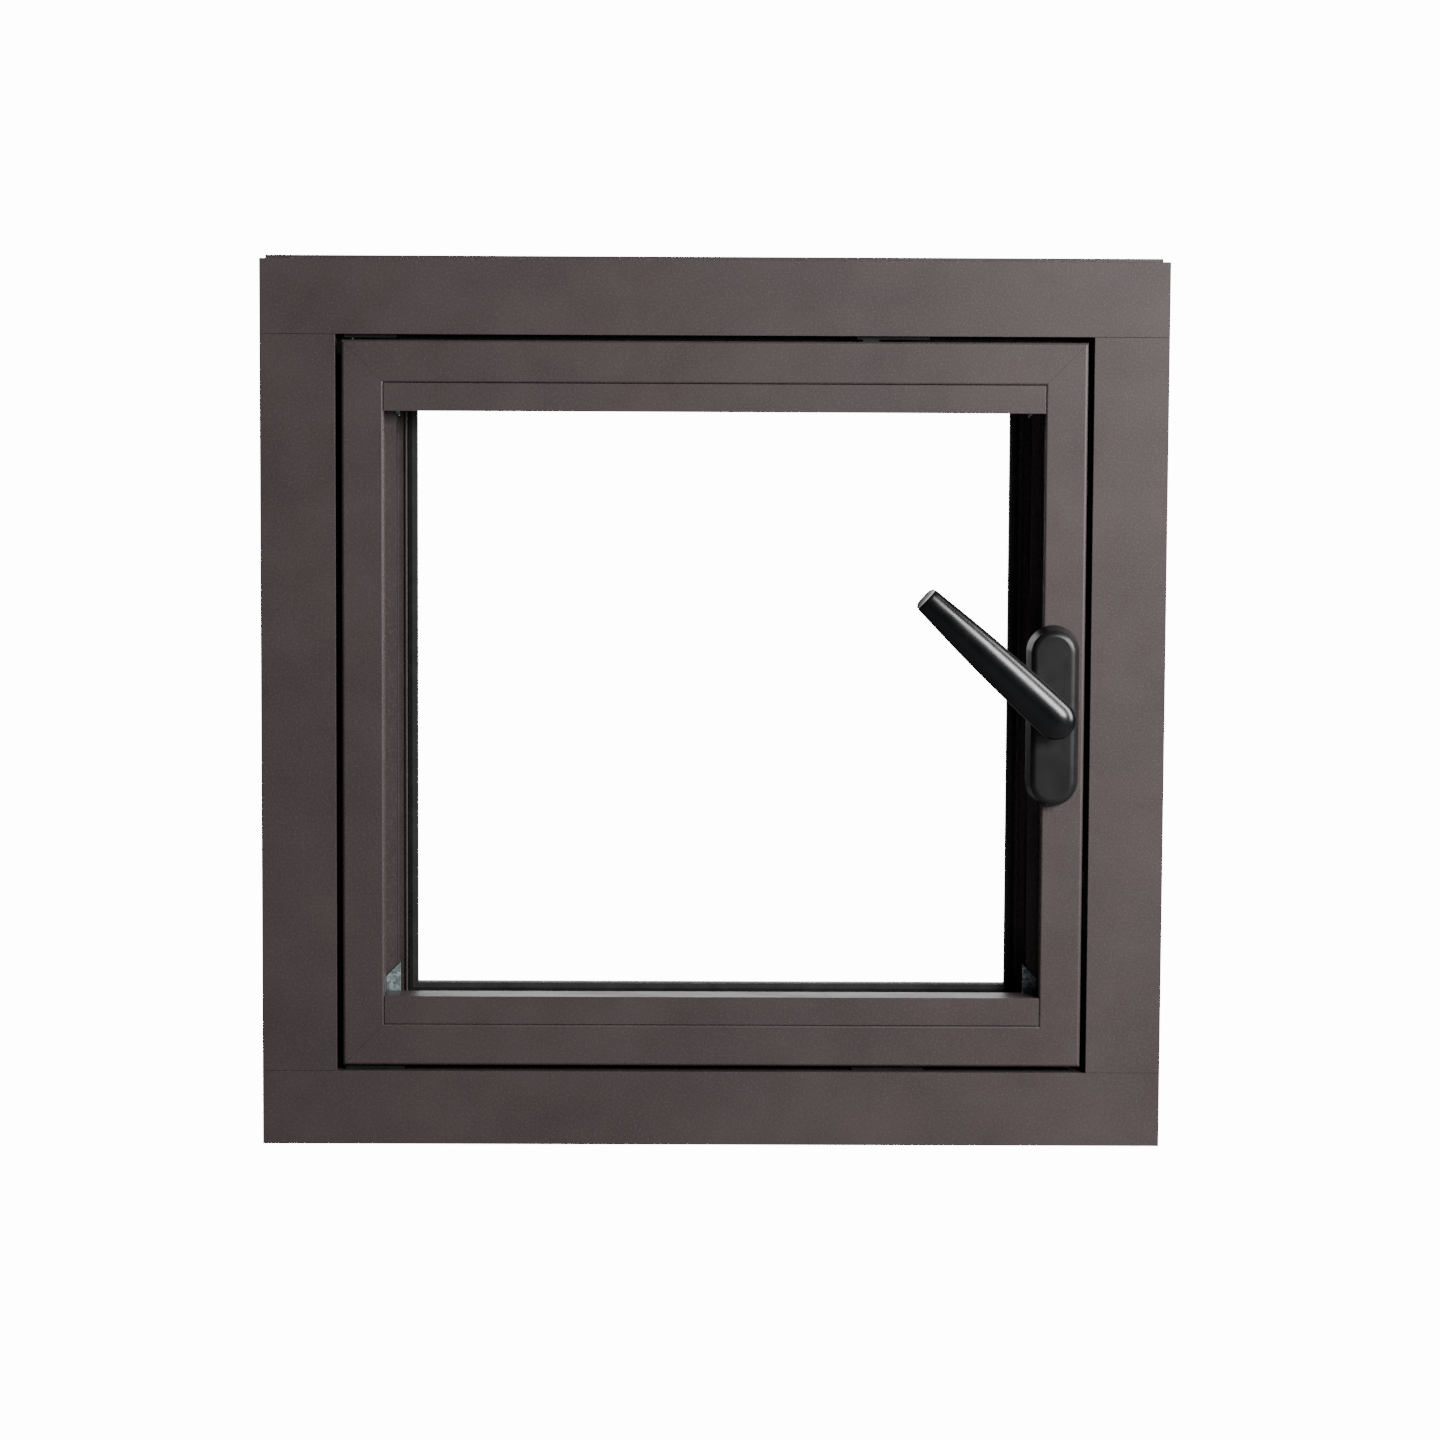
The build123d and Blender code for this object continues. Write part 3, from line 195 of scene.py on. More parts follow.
# Coat grain: the pimples of a textured powder coat, with lighter grains scattered in it.
coat_grain, grain_in, grain_out = shader_group(
    "coat_grain",
    {"Scale": 900.0, "Fleck Amount": 0.3},
    {"Height": "NodeSocketFloat", "Fleck": "NodeSocketFloat"},
)
pimples = mapped_noise(coat_grain, grain_in.outputs["Scale"], (1, 1, 1), 2.0)
coat_grain.links.new(pimples.outputs["Fac"], grain_out.inputs["Height"])
fleck_scale = coat_grain.nodes.new("ShaderNodeMath")
fleck_scale.operation = "MULTIPLY"
fleck_scale.inputs[1].default_value = 0.6
coat_grain.links.new(grain_in.outputs["Scale"], fleck_scale.inputs[0])
flecks = mapped_noise(coat_grain, fleck_scale.outputs[0], (1, 1, 1), 3.0, 0.75)
fleck_mask = coat_grain.nodes.new("ShaderNodeMath")
fleck_mask.operation = "MULTIPLY"
fleck_share = remap(coat_grain, flecks.outputs["Fac"], 0.50, 0.78, 0.0, 1.0)
coat_grain.links.new(fleck_share, fleck_mask.inputs[0])
coat_grain.links.new(grain_in.outputs["Fleck Amount"], fleck_mask.inputs[1])
coat_grain.links.new(fleck_mask.outputs[0], grain_out.inputs["Fleck"])

# Handling marks: broad cloudy smears and faint wiping streaks, used as a share of shine and colour.
handling, handling_in, handling_out = shader_group(
    "handling_marks",
    {"Cloud Scale": 9.0, "Streak Scale": 40.0},
    {"Cloud": "NodeSocketFloat", "Streak": "NodeSocketFloat"},
)
clouds = mapped_noise(handling, handling_in.outputs["Cloud Scale"], (1, 1, 1.3), 4.0)
streaks = mapped_noise(handling, handling_in.outputs["Streak Scale"], (0.35, 1, 0.35), 5.0, 0.65)
cloud_share = remap(handling, clouds.outputs["Fac"], 0.3, 0.7, 0.0, 1.0)
streak_share = remap(handling, streaks.outputs["Fac"], 0.35, 0.65, 0.0, 1.0)
handling.links.new(cloud_share, handling_out.inputs["Cloud"])
handling.links.new(streak_share, handling_out.inputs["Streak"])


def new_finish(name, metallic=0.0, **constants):
    """An empty material: its node tree and its Principled shader, with constants set on the sockets."""
    material = bpy.data.materials.new(name)
    material.use_nodes = True
    shader = material.node_tree.nodes["Principled BSDF"]
    shader.inputs["Metallic"].default_value = metallic
    for socket, value in constants.items():
        shader.inputs[socket.replace("_", " ")].default_value = value
    return material, material.node_tree, shader


def place_group(tree, group, values):
    """A group placed in a material with its own values."""
    placed = tree.nodes.new("ShaderNodeGroup")
    placed.node_tree = group
    for socket, value in values.items():
        placed.inputs[socket].default_value = value
    return placed


def blend_colours(tree, share, first, second):
    """Colour between two colours, or between a colour socket and a colour."""
    mixer = tree.nodes.new("ShaderNodeMix")
    mixer.data_type = "RGBA"
    tree.links.new(share, mixer.inputs["Factor"])
    if isinstance(first, tuple):
        mixer.inputs["A"].default_value = (*first, 1)
    else:
        tree.links.new(first, mixer.inputs["A"])
    mixer.inputs["B"].default_value = (*second, 1)
    return mixer.outputs["Result"]


def add_bump(tree, shader, height, strength, distance):
    """Surface relief from a height, on the shader's normal."""
    relief = tree.nodes.new("ShaderNodeBump")
    relief.inputs["Strength"].default_value = strength
    relief.inputs["Distance"].default_value = distance
    tree.links.new(height, relief.inputs["Height"])
    tree.links.new(relief.outputs["Normal"], shader.inputs["Normal"])


def powder_coat(name, dark, pale, fleck, roughness, relief):
    """Powder coat: cloudy colour, scattered flecks, fine orange peel and smeared shine."""
    material, tree, shader = new_finish(name, IOR=1.5)
    grain = place_group(tree, coat_grain, {"Scale": 1000.0, "Fleck Amount": 0.75})
    marks = place_group(tree, handling, {"Cloud Scale": 11.0, "Streak Scale": 60.0})
    clouded = blend_colours(tree, marks.outputs["Cloud"], dark, pale)
    flecked = blend_colours(tree, grain.outputs["Fleck"], clouded, fleck)
    tree.links.new(flecked, shader.inputs["Base Color"])
    shine = remap(tree, marks.outputs["Streak"], 0.0, 1.0, roughness - 0.04, roughness + 0.06)
    tree.links.new(shine, shader.inputs["Roughness"])
    add_bump(tree, shader, grain.outputs["Height"], 0.5, relief)
    return material


def marked_shine(tree, shader, mark, low, high):
    """Roughness that runs from low to high with a mark."""
    tree.links.new(remap(tree, mark, 0, 1, low, high), shader.inputs["Roughness"])


coat = powder_coat(
    "umber_coat", dark=(0.052, 0.038, 0.0385), pale=(0.068, 0.050, 0.051), fleck=(0.13, 0.10, 0.099),
    roughness=0.46, relief=0.00014,
)
# Edge coat for the bevels: lighter and shinier than the face coat, for the thinner coat there and as a
# painted highlight.
thin_coat_and_highlight = powder_coat(
    "umber_thin_coat_and_highlight", dark=(0.085, 0.066, 0.065), pale=(0.10, 0.08, 0.078), fleck=(0.15, 0.12, 0.12),
    roughness=0.36, relief=0.00004,
)

bare_metal, bare_tree, bare_shader = new_finish("sawn_aluminium", metallic=1.0)
saw_marks = place_group(bare_tree, handling, {"Cloud Scale": 60.0, "Streak Scale": 700.0})
bare_tree.links.new(
    blend_colours(bare_tree, saw_marks.outputs["Streak"], (0.50, 0.51, 0.52), (0.68, 0.69, 0.70)),
    bare_shader.inputs["Base Color"],
)
marked_shine(bare_tree, bare_shader, saw_marks.outputs["Streak"], 0.30, 0.48)
add_bump(bare_tree, bare_shader, saw_marks.outputs["Streak"], 0.4, 0.00005)


weld_distance = 1e-6
flat_within = math.radians(0.6)


def merged_copy(node, name):
    """A copy of a CAD node's mesh with its loose triangles merged into whole faces."""
    shape = bmesh.new()
    shape.from_mesh(nodes[node].data)
    bmesh.ops.remove_doubles(shape, verts=shape.verts, dist=weld_distance)
    bmesh.ops.dissolve_limit(
        shape, angle_limit=flat_within, verts=shape.verts, edges=shape.edges, delimit={"NORMAL"}
    )
    mesh = bpy.data.meshes.new(name)
    shape.to_mesh(mesh)
    shape.free()
    copy = bpy.data.objects.new(name, mesh)
    scene.collection.objects.link(copy)
    return copy


def even_normals(piece):
    """Keep large faces flat-looking next to small rounded ones."""
    shading = piece.modifiers.new("even_normals", "WEIGHTED_NORMAL")
    shading.weight = 100


def soften_edges(piece, width, segments=2, angle=50.0, edge_material=-1):
    """Bevel the sharp edges and shade the rest smoothly, so edges catch the light."""
    bevel = piece.modifiers.new("softened_edges", "BEVEL")
    bevel.width = width
    bevel.segments = segments
    bevel.limit_method = "ANGLE"
    bevel.angle_limit = math.radians(angle)
    bevel.material = edge_material
    bevel.use_clamp_overlap = True
    even_normals(piece)
    for face in piece.data.polygons:
        face.use_smooth = True


def stand_for(piece, node):
    """The piece rides with the CAD node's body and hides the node."""
    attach(piece, nodes[node]["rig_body"])
    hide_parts(node)


# A chamber lies between two depths, and two distances from the bar's edge next to the wall.
coat_edge_width = 0.00035
chamber_depths = {"inner": (-0.0345, -0.0036), "outer": (0.0156, 0.0344)}
chamber_span = (0.0095, 0.0570)
# The middle slot takes the lighter edge coat, which is partly a painted highlight along the bevels.
coat_slot, thin_coat_highlight_slot, bare_slot = 0, 1, 2
faces_the_end = 0.99
frame_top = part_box("frame_head_inner")[1].z
frame_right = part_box("frame_head_inner")[1].x
for bar in ("frame_head", "frame_sill", "jamb_left", "jamb_right"):
    for layer, (chamber_front, chamber_back) in chamber_depths.items():
        bar_node = bar + "_" + layer
        piece = merged_copy(bar_node, bar_node + "_coated")
        for paint in (coat, thin_coat_and_highlight, bare_metal):
            piece.data.materials.append(paint)
        for face in piece.data.polygons:
            spot = face.center
            edge_distance = {
                "frame_head": frame_top - spot.z,
                "frame_sill": spot.z,
                "jamb_left": spot.x + frame_right,
                "jamb_right": frame_right - spot.x,
            }[bar]
            sawn = bar.startswith("frame") and abs(face.normal.x) > faces_the_end
            in_chamber = (
                chamber_span[0] < edge_distance < chamber_span[1]
                and chamber_front < spot.y < chamber_back
            )
            face.material_index = bare_slot if sawn or in_chamber else coat_slot
        soften_edges(piece, coat_edge_width, edge_material=thin_coat_highlight_slot)
        stand_for(piece, bar_node)

# ---- Thermal strips -----------------------------------------------------------------------------
# Glass-filled polyamide bars, extruded and crimped between the two aluminium shells of every
# profile. They keep the cold out and show as a dull black band in the edges of the sash.
polyamide, polyamide_tree, polyamide_shader = new_finish("black_polyamide")
fibres = place_group(polyamide_tree, handling, {"Cloud Scale": 25.0, "Streak Scale": 900.0})
polyamide_tree.links.new(
    blend_colours(
        polyamide_tree, fibres.outputs["Streak"], (0.012, 0.012, 0.013), (0.028, 0.028, 0.029)
    ),
    polyamide_shader.inputs["Base Color"],
)
marked_shine(polyamide_tree, polyamide_shader, fibres.outputs["Cloud"], 0.42, 0.60)
add_bump(polyamide_tree, polyamide_shader, fibres.outputs["Streak"], 0.2, 0.00005)


def refinish(node, material):
    """Give a CAD node another material in every slot."""
    mesh = nodes[node].data
    if not mesh.materials:
        mesh.materials.append(material)
    for index in range(len(mesh.materials)):
        mesh.materials[index] = material


for strips in (
    "frame_head_strips", "frame_sill_strips", "jamb_left_strips", "jamb_right_strips",
    "sash_edge_strips", "sash_rebate_strips",
):
    refinish(strips, polyamide)

# ---- Frame joint blocks and screws --------------------------------------------------------------
# Die-cast zinc blocks sit in the ends of the jambs. Pan-head screws of zinc-plated steel pull the
# head and the sill on to them.
casting, casting_tree, casting_shader = new_finish("zinc_casting", metallic=0.9)
cast_skin = place_group(casting_tree, coat_grain, {"Scale": 500.0, "Fleck Amount": 0.6})
cast_stain = place_group(casting_tree, handling, {"Cloud Scale": 70.0, "Streak Scale": 200.0})
cast_base = blend_colours(
    casting_tree, cast_stain.outputs["Cloud"], (0.30, 0.31, 0.33), (0.42, 0.43, 0.44)
)
casting_tree.links.new(
    blend_colours(casting_tree, cast_skin.outputs["Fleck"], cast_base, (0.55, 0.56, 0.57)),
    casting_shader.inputs["Base Color"],
)
marked_shine(casting_tree, casting_shader, cast_stain.outputs["Streak"], 0.42, 0.62)
add_bump(casting_tree, casting_shader, cast_skin.outputs["Height"], 0.5, 0.00012)
refinish("frame_joint_blocks", casting)

plated, plated_tree, plated_shader = new_finish("zinc_plated_steel", metallic=1.0)
draw_lines = place_group(plated_tree, handling, {"Cloud Scale": 90.0, "Streak Scale": 450.0})
plated_base = blend_colours(
    plated_tree, draw_lines.outputs["Cloud"], (0.50, 0.50, 0.49), (0.62, 0.61, 0.57)
)
plated_tree.links.new(
    blend_colours(plated_tree, draw_lines.outputs["Streak"], plated_base, (0.66, 0.66, 0.65)),
    plated_shader.inputs["Base Color"],
)
marked_shine(plated_tree, plated_shader, draw_lines.outputs["Streak"], 0.24, 0.40)
add_bump(plated_tree, plated_shader, draw_lines.outputs["Streak"], 0.15, 0.00004)


def geometry_tree(name, inputs):
    """A geometry tree that takes a mesh of points and named sizes, and gives a mesh."""
    tree = bpy.data.node_groups.new(name, "GeometryNodeTree")
    tree.interface.new_socket("Geometry", in_out="INPUT", socket_type="NodeSocketGeometry")
    for socket, (kind, value) in inputs.items():
        made = tree.interface.new_socket(socket, in_out="INPUT", socket_type=kind)
        if value is not None:
            made.default_value = value
    tree.interface.new_socket("Geometry", in_out="OUTPUT", socket_type="NodeSocketGeometry")
    return tree, tree.nodes.new("NodeGroupInput"), tree.nodes.new("NodeGroupOutput")


def linked(tree, kind, inputs=None, **settings):
    """A node with its settings, its inputs set to values or linked to sockets."""
    node = tree.nodes.new(kind)
    for setting, value in settings.items():
        setattr(node, setting, value)
    for socket, value in (inputs or {}).items():
        if isinstance(value, bpy.types.NodeSocket):
            tree.links.new(value, node.inputs[socket])
        else:
            node.inputs[socket].default_value = value
    return node


# Screw tree: a shank and a domed head with a cross recess stand on each point, turned to its axis.
# The head is worked out at a radius and a height of one, and then scaled to its size.
recess_length = 1.05
recess_width = 0.22
recess_lift = 0.95
screw_tree, screw_in, screw_out = geometry_tree("cross_recess_screws", {
    "Head Radius": ("NodeSocketFloat", 0.004),
    "Head Height": ("NodeSocketFloat", 0.002),
    "Shank Radius": ("NodeSocketFloat", 0.002),
    "Shank Length": ("NodeSocketFloat", 0.01),
    "Material": ("NodeSocketMaterial", None),
})
head_scale = linked(screw_tree, "ShaderNodeCombineXYZ", {
    "X": screw_in.outputs["Head Radius"],
    "Y": screw_in.outputs["Head Radius"],
    "Z": screw_in.outputs["Head Height"],
})
dome = linked(screw_tree, "GeometryNodeMeshUVSphere", {"Segments": 32, "Rings": 16, "Radius": 1.0})
lower_half = linked(screw_tree, "GeometryNodeMeshCube", {"Size": (3.0, 3.0, 2.0)})
lower_half_down = linked(screw_tree, "GeometryNodeTransform", {
    "Geometry": lower_half.outputs["Mesh"], "Translation": (0.0, 0.0, -1.0),
})
slot_bar = linked(screw_tree, "GeometryNodeMeshCube", {"Size": (recess_length, recess_width, 1.0)})
slot_cross = linked(screw_tree, "GeometryNodeTransform", {
    "Geometry": slot_bar.outputs["Mesh"], "Rotation": (0.0, 0.0, math.pi / 2),
})
slots_up = []
for one_slot in (slot_bar.outputs["Mesh"], slot_cross.outputs["Geometry"]):
    raised = linked(screw_tree, "GeometryNodeTransform", {
        "Geometry": one_slot, "Translation": (0.0, 0.0, recess_lift),
    })
    slots_up.append(raised.outputs["Geometry"])
cut_head = dome.outputs["Mesh"]
for cutter in (lower_half_down.outputs["Geometry"], *slots_up):
    cut = linked(screw_tree, "GeometryNodeMeshBoolean", {"Mesh 1": cut_head}, operation="DIFFERENCE")
    screw_tree.links.new(cutter, cut.inputs["Mesh 2"])
    cut_head = cut.outputs["Mesh"]
sized_head = linked(screw_tree, "GeometryNodeTransform", {
    "Geometry": cut_head, "Scale": head_scale.outputs["Vector"],
})
shank = linked(screw_tree, "GeometryNodeMeshCylinder", {
    "Vertices": 24,
    "Radius": screw_in.outputs["Shank Radius"],
    "Depth": screw_in.outputs["Shank Length"],
})
half_down = linked(screw_tree, "ShaderNodeMath", {
    0: screw_in.outputs["Shank Length"], 1: -0.5,
}, operation="MULTIPLY")
shank_drop = linked(screw_tree, "ShaderNodeCombineXYZ", {"Z": half_down.outputs[0]})
shank_down = linked(screw_tree, "GeometryNodeTransform", {
    "Geometry": shank.outputs["Mesh"], "Translation": shank_drop.outputs["Vector"],
})
whole_screw = linked(screw_tree, "GeometryNodeJoinGeometry")
screw_tree.links.new(sized_head.outputs["Geometry"], whole_screw.inputs["Geometry"])
screw_tree.links.new(shank_down.outputs["Geometry"], whole_screw.inputs["Geometry"])
screw_axis = linked(
    screw_tree, "GeometryNodeInputNamedAttribute", {"Name": "axis"}, data_type="FLOAT_VECTOR"
)
screw_turn = linked(screw_tree, "FunctionNodeAlignRotationToVector", {
    "Vector": screw_axis.outputs["Attribute"],
}, axis="Z")
screws_placed = linked(screw_tree, "GeometryNodeInstanceOnPoints", {
    "Points": screw_in.outputs["Geometry"],
    "Instance": whole_screw.outputs["Geometry"],
    "Rotation": screw_turn.outputs["Rotation"],
})
screws_real = linked(screw_tree, "GeometryNodeRealizeInstances", {
    "Geometry": screws_placed.outputs["Instances"],
})
screws_painted = linked(screw_tree, "GeometryNodeSetMaterial", {
    "Geometry": screws_real.outputs["Geometry"], "Material": screw_in.outputs["Material"],
})
screw_tree.links.new(screws_painted.outputs["Geometry"], screw_out.inputs["Geometry"])


def grown(name, tree, points, axes, values):
    """Run a geometry tree on points with axes, and keep the result as a plain mesh object."""
    seed_mesh = bpy.data.meshes.new(name + "_points")
    seed_mesh.from_pydata([tuple(point) for point in points], [], [])
    axis_data = seed_mesh.attributes.new("axis", "FLOAT_VECTOR", "POINT")
    for index, axis in enumerate(axes):
        axis_data.data[index].vector = axis
    seed = bpy.data.objects.new(name + "_points", seed_mesh)
    scene.collection.objects.link(seed)
    growth = seed.modifiers.new("growth", "NODES")
    growth.node_group = tree
    sockets = {
        item.name: item.identifier for item in tree.interface.items_tree if item.in_out == "INPUT"
    }
    for socket, value in values.items():
        growth[sockets[socket]] = value
    bpy.context.view_layer.update()
    evaluated = seed.evaluated_get(bpy.context.evaluated_depsgraph_get())
    result = bpy.data.meshes.new_from_object(evaluated)
    bpy.data.objects.remove(seed)
    result.name = name
    piece = bpy.data.objects.new(name, result)
    scene.collection.objects.link(piece)
    return piece


def solids_of(node):
    """(lowest corner, highest corner) of each separate solid in a CAD node."""
    shape = bmesh.new()
    shape.from_mesh(nodes[node].data)
    bmesh.ops.remove_doubles(shape, verts=shape.verts, dist=weld_distance)
    unseen = set(shape.verts)
    boxes = []
    while unseen:
        reached = [unseen.pop()]
        corners = []
        while reached:
            vertex = reached.pop()
            corners.append(vertex.co.copy())
            for edge in vertex.link_edges:
                other = edge.other_vert(vertex)
                if other in unseen:
                    unseen.discard(other)
                    reached.append(other)
        boxes.append(tuple(
            Vector(limit(corner[i] for corner in corners) for i in range(3)) for limit in (min, max)
        ))
    shape.free()
    return sorted(boxes, key=lambda box: tuple(box[0]))


joint_screw_boxes = solids_of("frame_joint_screws")
joint_screw_head = 0.003
seats = []
axes = []
for low, high in joint_screw_boxes:
    up = 1.0 if (low.z + high.z) / 2 > frame_top / 2 else -1.0
    tip_z = high.z if up > 0 else low.z
    seats.append(((low.x + high.x) / 2, (low.y + high.y) / 2, tip_z - up * joint_screw_head))
    axes.append((0.0, 0.0, up))
joint_screws = grown("frame_joint_screw_set", screw_tree, seats, axes, {
    "Head Radius": 0.0045,
    "Head Height": joint_screw_head,
    "Shank Radius": 0.0025,
    "Shank Length": joint_screw_boxes[0][1].z - joint_screw_boxes[0][0].z - joint_screw_head,
    "Material": plated,
})
stand_for(joint_screws, "frame_joint_screws")

# ---- Drainage hoods -----------------------------------------------------------------------------
# Moulded black plastic clips over the drain slots in the outdoor face of the sill. They are pushed
# in by hand and keep the wind out of the slots.
moulded, moulded_tree, moulded_shader = new_finish("black_moulding")
spark = place_group(moulded_tree, coat_grain, {"Scale": 1500.0, "Fleck Amount": 0.25})
scuffs = place_group(moulded_tree, handling, {"Cloud Scale": 120.0, "Streak Scale": 300.0})
moulded_tree.links.new(
    blend_colours(moulded_tree, scuffs.outputs["Cloud"], (0.012, 0.012, 0.013), (0.024, 0.024, 0.025)),
    moulded_shader.inputs["Base Color"],
)
marked_shine(moulded_tree, moulded_shader, scuffs.outputs["Streak"], 0.42, 0.62)
add_bump(moulded_tree, moulded_shader, spark.outputs["Height"], 0.4, 0.00006)
hoods = merged_copy("drain_hoods", "drain_hood_pair")
hoods.data.materials.append(moulded)
soften_edges(hoods, 0.0010, segments=4, angle=35.0)
stand_for(hoods, "drain_hoods")

# ---- Sash bars ----------------------------------------------------------------------------------
# Mitred aluminium bars in the same coat, joined by cleats in their chambers. The lip laps over the
# gap to the frame. A hairline is left at each mitre, where the coat of the two bars doesn't meet.
mitre_hairline = 0.00010
for bar in ("sash_bottom", "sash_top", "sash_left", "sash_right"):
    for layer in ("inner", "outer"):
        bar_node = bar + "_" + layer
        bar_low, bar_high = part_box(bar_node)
        bar_axis = 0 if bar in ("sash_bottom", "sash_top") else 2
        bar_middle = (bar_low[bar_axis] + bar_high[bar_axis]) / 2
        bar_shrink = 1.0 - 2 * mitre_hairline / (bar_high[bar_axis] - bar_low[bar_axis])
        piece = merged_copy(bar_node, bar_node + "_coated")
        for vertex in piece.data.vertices:
            vertex.co[bar_axis] = bar_middle + (vertex.co[bar_axis] - bar_middle) * bar_shrink
        for paint in (coat, thin_coat_and_highlight):
            piece.data.materials.append(paint)
        soften_edges(piece, coat_edge_width, edge_material=thin_coat_highlight_slot)
        stand_for(piece, bar_node)
refinish("sash_corner_cleats", casting)

# ---- Glazing beads ------------------------------------------------------------------------------
# Square aluminium beads in the same coat snap in along the top and the bottom. The side beads come
# with the glass.
for bead_node in ("bead_top", "bead_bottom"):
    piece = merged_copy(bead_node, bead_node + "_coated")
    for paint in (coat, thin_coat_and_highlight):
        piece.data.materials.append(paint)
    soften_edges(piece, coat_edge_width, edge_material=thin_coat_highlight_slot)
    stand_for(piece, bead_node)

# ---- Corner plates ------------------------------------------------------------------------------
# Stamped angles of galvanised steel, pressed into the corners of the sash. They hold the mitres
# flush, and their spangle shows in the reveal.
galvanised, galvanised_tree, galvanised_shader = new_finish("galvanised_steel", metallic=0.85)
spangle = galvanised_tree.nodes.new("ShaderNodeTexVoronoi")
spangle.inputs["Scale"].default_value = 420.0
spangle_place = galvanised_tree.nodes.new("ShaderNodeTexCoord")
galvanised_tree.links.new(spangle_place.outputs["Object"], spangle.inputs["Vector"])
spangle_tone = galvanised_tree.nodes.new("ShaderNodeSeparateColor")
galvanised_tree.links.new(spangle.outputs["Color"], spangle_tone.inputs["Color"])
galvanised_tree.links.new(
    blend_colours(galvanised_tree, spangle_tone.outputs["Red"], (0.20, 0.26, 0.28), (0.44, 0.52, 0.55)),
    galvanised_shader.inputs["Base Color"],
)
marked_shine(galvanised_tree, galvanised_shader, spangle_tone.outputs["Green"], 0.38, 0.62)
add_bump(galvanised_tree, galvanised_shader, spangle.outputs["Distance"], 0.3, 0.0001)
plates = merged_copy("sash_corner_plates", "corner_plate_set")
plates.data.materials.append(galvanised)
soften_edges(plates, 0.0002)
stand_for(plates, "sash_corner_plates")

# ---- Gaskets ------------------------------------------------------------------------------------
# Extruded black rubber with a soft bloom, pushed into grooves: the seal round the lip, the one in
# the middle of the rebate, and those on both sides of the glass.
rubber, rubber_tree, rubber_shader = new_finish("black_rubber")
bloom = place_group(rubber_tree, handling, {"Cloud Scale": 60.0, "Streak Scale": 500.0})
rubber_tree.links.new(
    blend_colours(rubber_tree, bloom.outputs["Cloud"], (0.010, 0.010, 0.010), (0.024, 0.023, 0.023)),
    rubber_shader.inputs["Base Color"],
)
marked_shine(rubber_tree, rubber_shader, bloom.outputs["Streak"], 0.50, 0.72)
add_bump(rubber_tree, rubber_shader, bloom.outputs["Streak"], 0.2, 0.00006)
for gasket in ("weather_seal", "centre_seal", "bead_gaskets", "glazing_gasket"):
    refinish(gasket, rubber)

# ---- Rods, cams and corner drives ---------------------------------------------------------------
# Zinc-plated flat steel runs in the groove round the sash; mushroom cams are riveted to it. The
# angled drives that lead it round the corners are galvanised.
running_gear = {
    "lock_rod": 0.0003, "top_rod": 0.0003, "bottom_rod": 0.0003,
    "lock_cams": 0.0005, "top_cam": 0.0005, "bottom_cam": 0.0005,
    "stay_arm": 0.0003, "stay_slider": 0.0004, "sash_pivot_bearing": 0.0004, "pivot_block": 0.0003,
    "pinion": 0.0001, "drive_rack": 0.0001,
}
for part, edge in running_gear.items():
    piece = merged_copy(part, part + "_plated")
    piece.data.materials.append(plated)
    soften_edges(piece, edge, angle=35.0)
    stand_for(piece, part)
drives = merged_copy("corner_drives", "corner_drive_pair")
drives.data.materials.append(galvanised)
soften_edges(drives, 0.0004, angle=35.0)
stand_for(drives, "corner_drives")

# ---- Keepers and pivot brackets on the frame ----------------------------------------------------
# Die castings with a black coat, so nothing shines in the gap. The cams catch behind the keepers,
# which pan-head screws hold, and the two brackets carry the sash's pivots.
black_coat, black_tree, black_shader = new_finish("black_coated_casting", metallic=0.2)
black_skin = place_group(black_tree, coat_grain, {"Scale": 700.0, "Fleck Amount": 0.2})
black_marks = place_group(black_tree, handling, {"Cloud Scale": 80.0, "Streak Scale": 260.0})
black_tree.links.new(
    blend_colours(
        black_tree, black_marks.outputs["Cloud"], (0.004, 0.004, 0.0045), (0.009, 0.009, 0.0095)
    ),
    black_shader.inputs["Base Color"],
)
marked_shine(black_tree, black_shader, black_marks.outputs["Streak"], 0.40, 0.58)
add_bump(black_tree, black_shader, black_skin.outputs["Height"], 0.4, 0.0001)
for part in (
    "lower_keeper", "upper_keeper", "head_keeper", "sill_keeper",
    "lower_pivot_bracket", "upper_pivot_bracket",
):
    piece = merged_copy(part, part + "_coated")
    piece.data.materials.append(black_coat)
    soften_edges(piece, 0.0005, segments=3, angle=35.0)
    stand_for(piece, part)

keeper_head_height = 0.0011
seats = []
axes = []
for low, high in solids_of("keeper_screws"):
    centre = (low + high) / 2
    upright = high.z - low.z < high.x - low.x
    up = 1.0 if centre.z < frame_top / 2 else -1.0
    axis = Vector((0.0, 0.0, up)) if upright else Vector((-1.0, 0.0, 0.0))
    length = high.z - low.z if upright else high.x - low.x
    seats.append(centre + axis * (length / 2 - keeper_head_height))
    axes.append(axis)
keeper_screws = grown("keeper_screw_set", screw_tree, seats, axes, {
    "Head Radius": 0.0034,
    "Head Height": keeper_head_height,
    "Shank Radius": 0.0019,
    "Shank Length": 0.0027,
    "Material": black_coat,
})
stand_for(keeper_screws, "keeper_screws")

# ---- Handle base and its screws -----------------------------------------------------------------
# A die-cast zinc base, held to the face of the sash by two plated screws with cross recesses. The
# cover snaps over it and hides it.
base_casting = merged_copy("handle_base", "handle_base_casting")
base_casting.data.materials.append(casting)
soften_edges(base_casting, 0.0003, angle=35.0)
stand_for(base_casting, "handle_base")
handle_head_height = 0.0022
seats = []
for low, high in solids_of("handle_screws"):
    seats.append(((low.x + high.x) / 2, low.y + handle_head_height, (low.z + high.z) / 2))
handle_screws = grown("handle_screw_pair", screw_tree, seats, [(0.0, -1.0, 0.0)] * len(seats), {
    "Head Radius": 0.0044,
    "Head Height": handle_head_height,
    "Shank Radius": 0.0022,
    "Shank Length": 0.009,
    "Material": plated,
})
stand_for(handle_screws, "handle_screws")

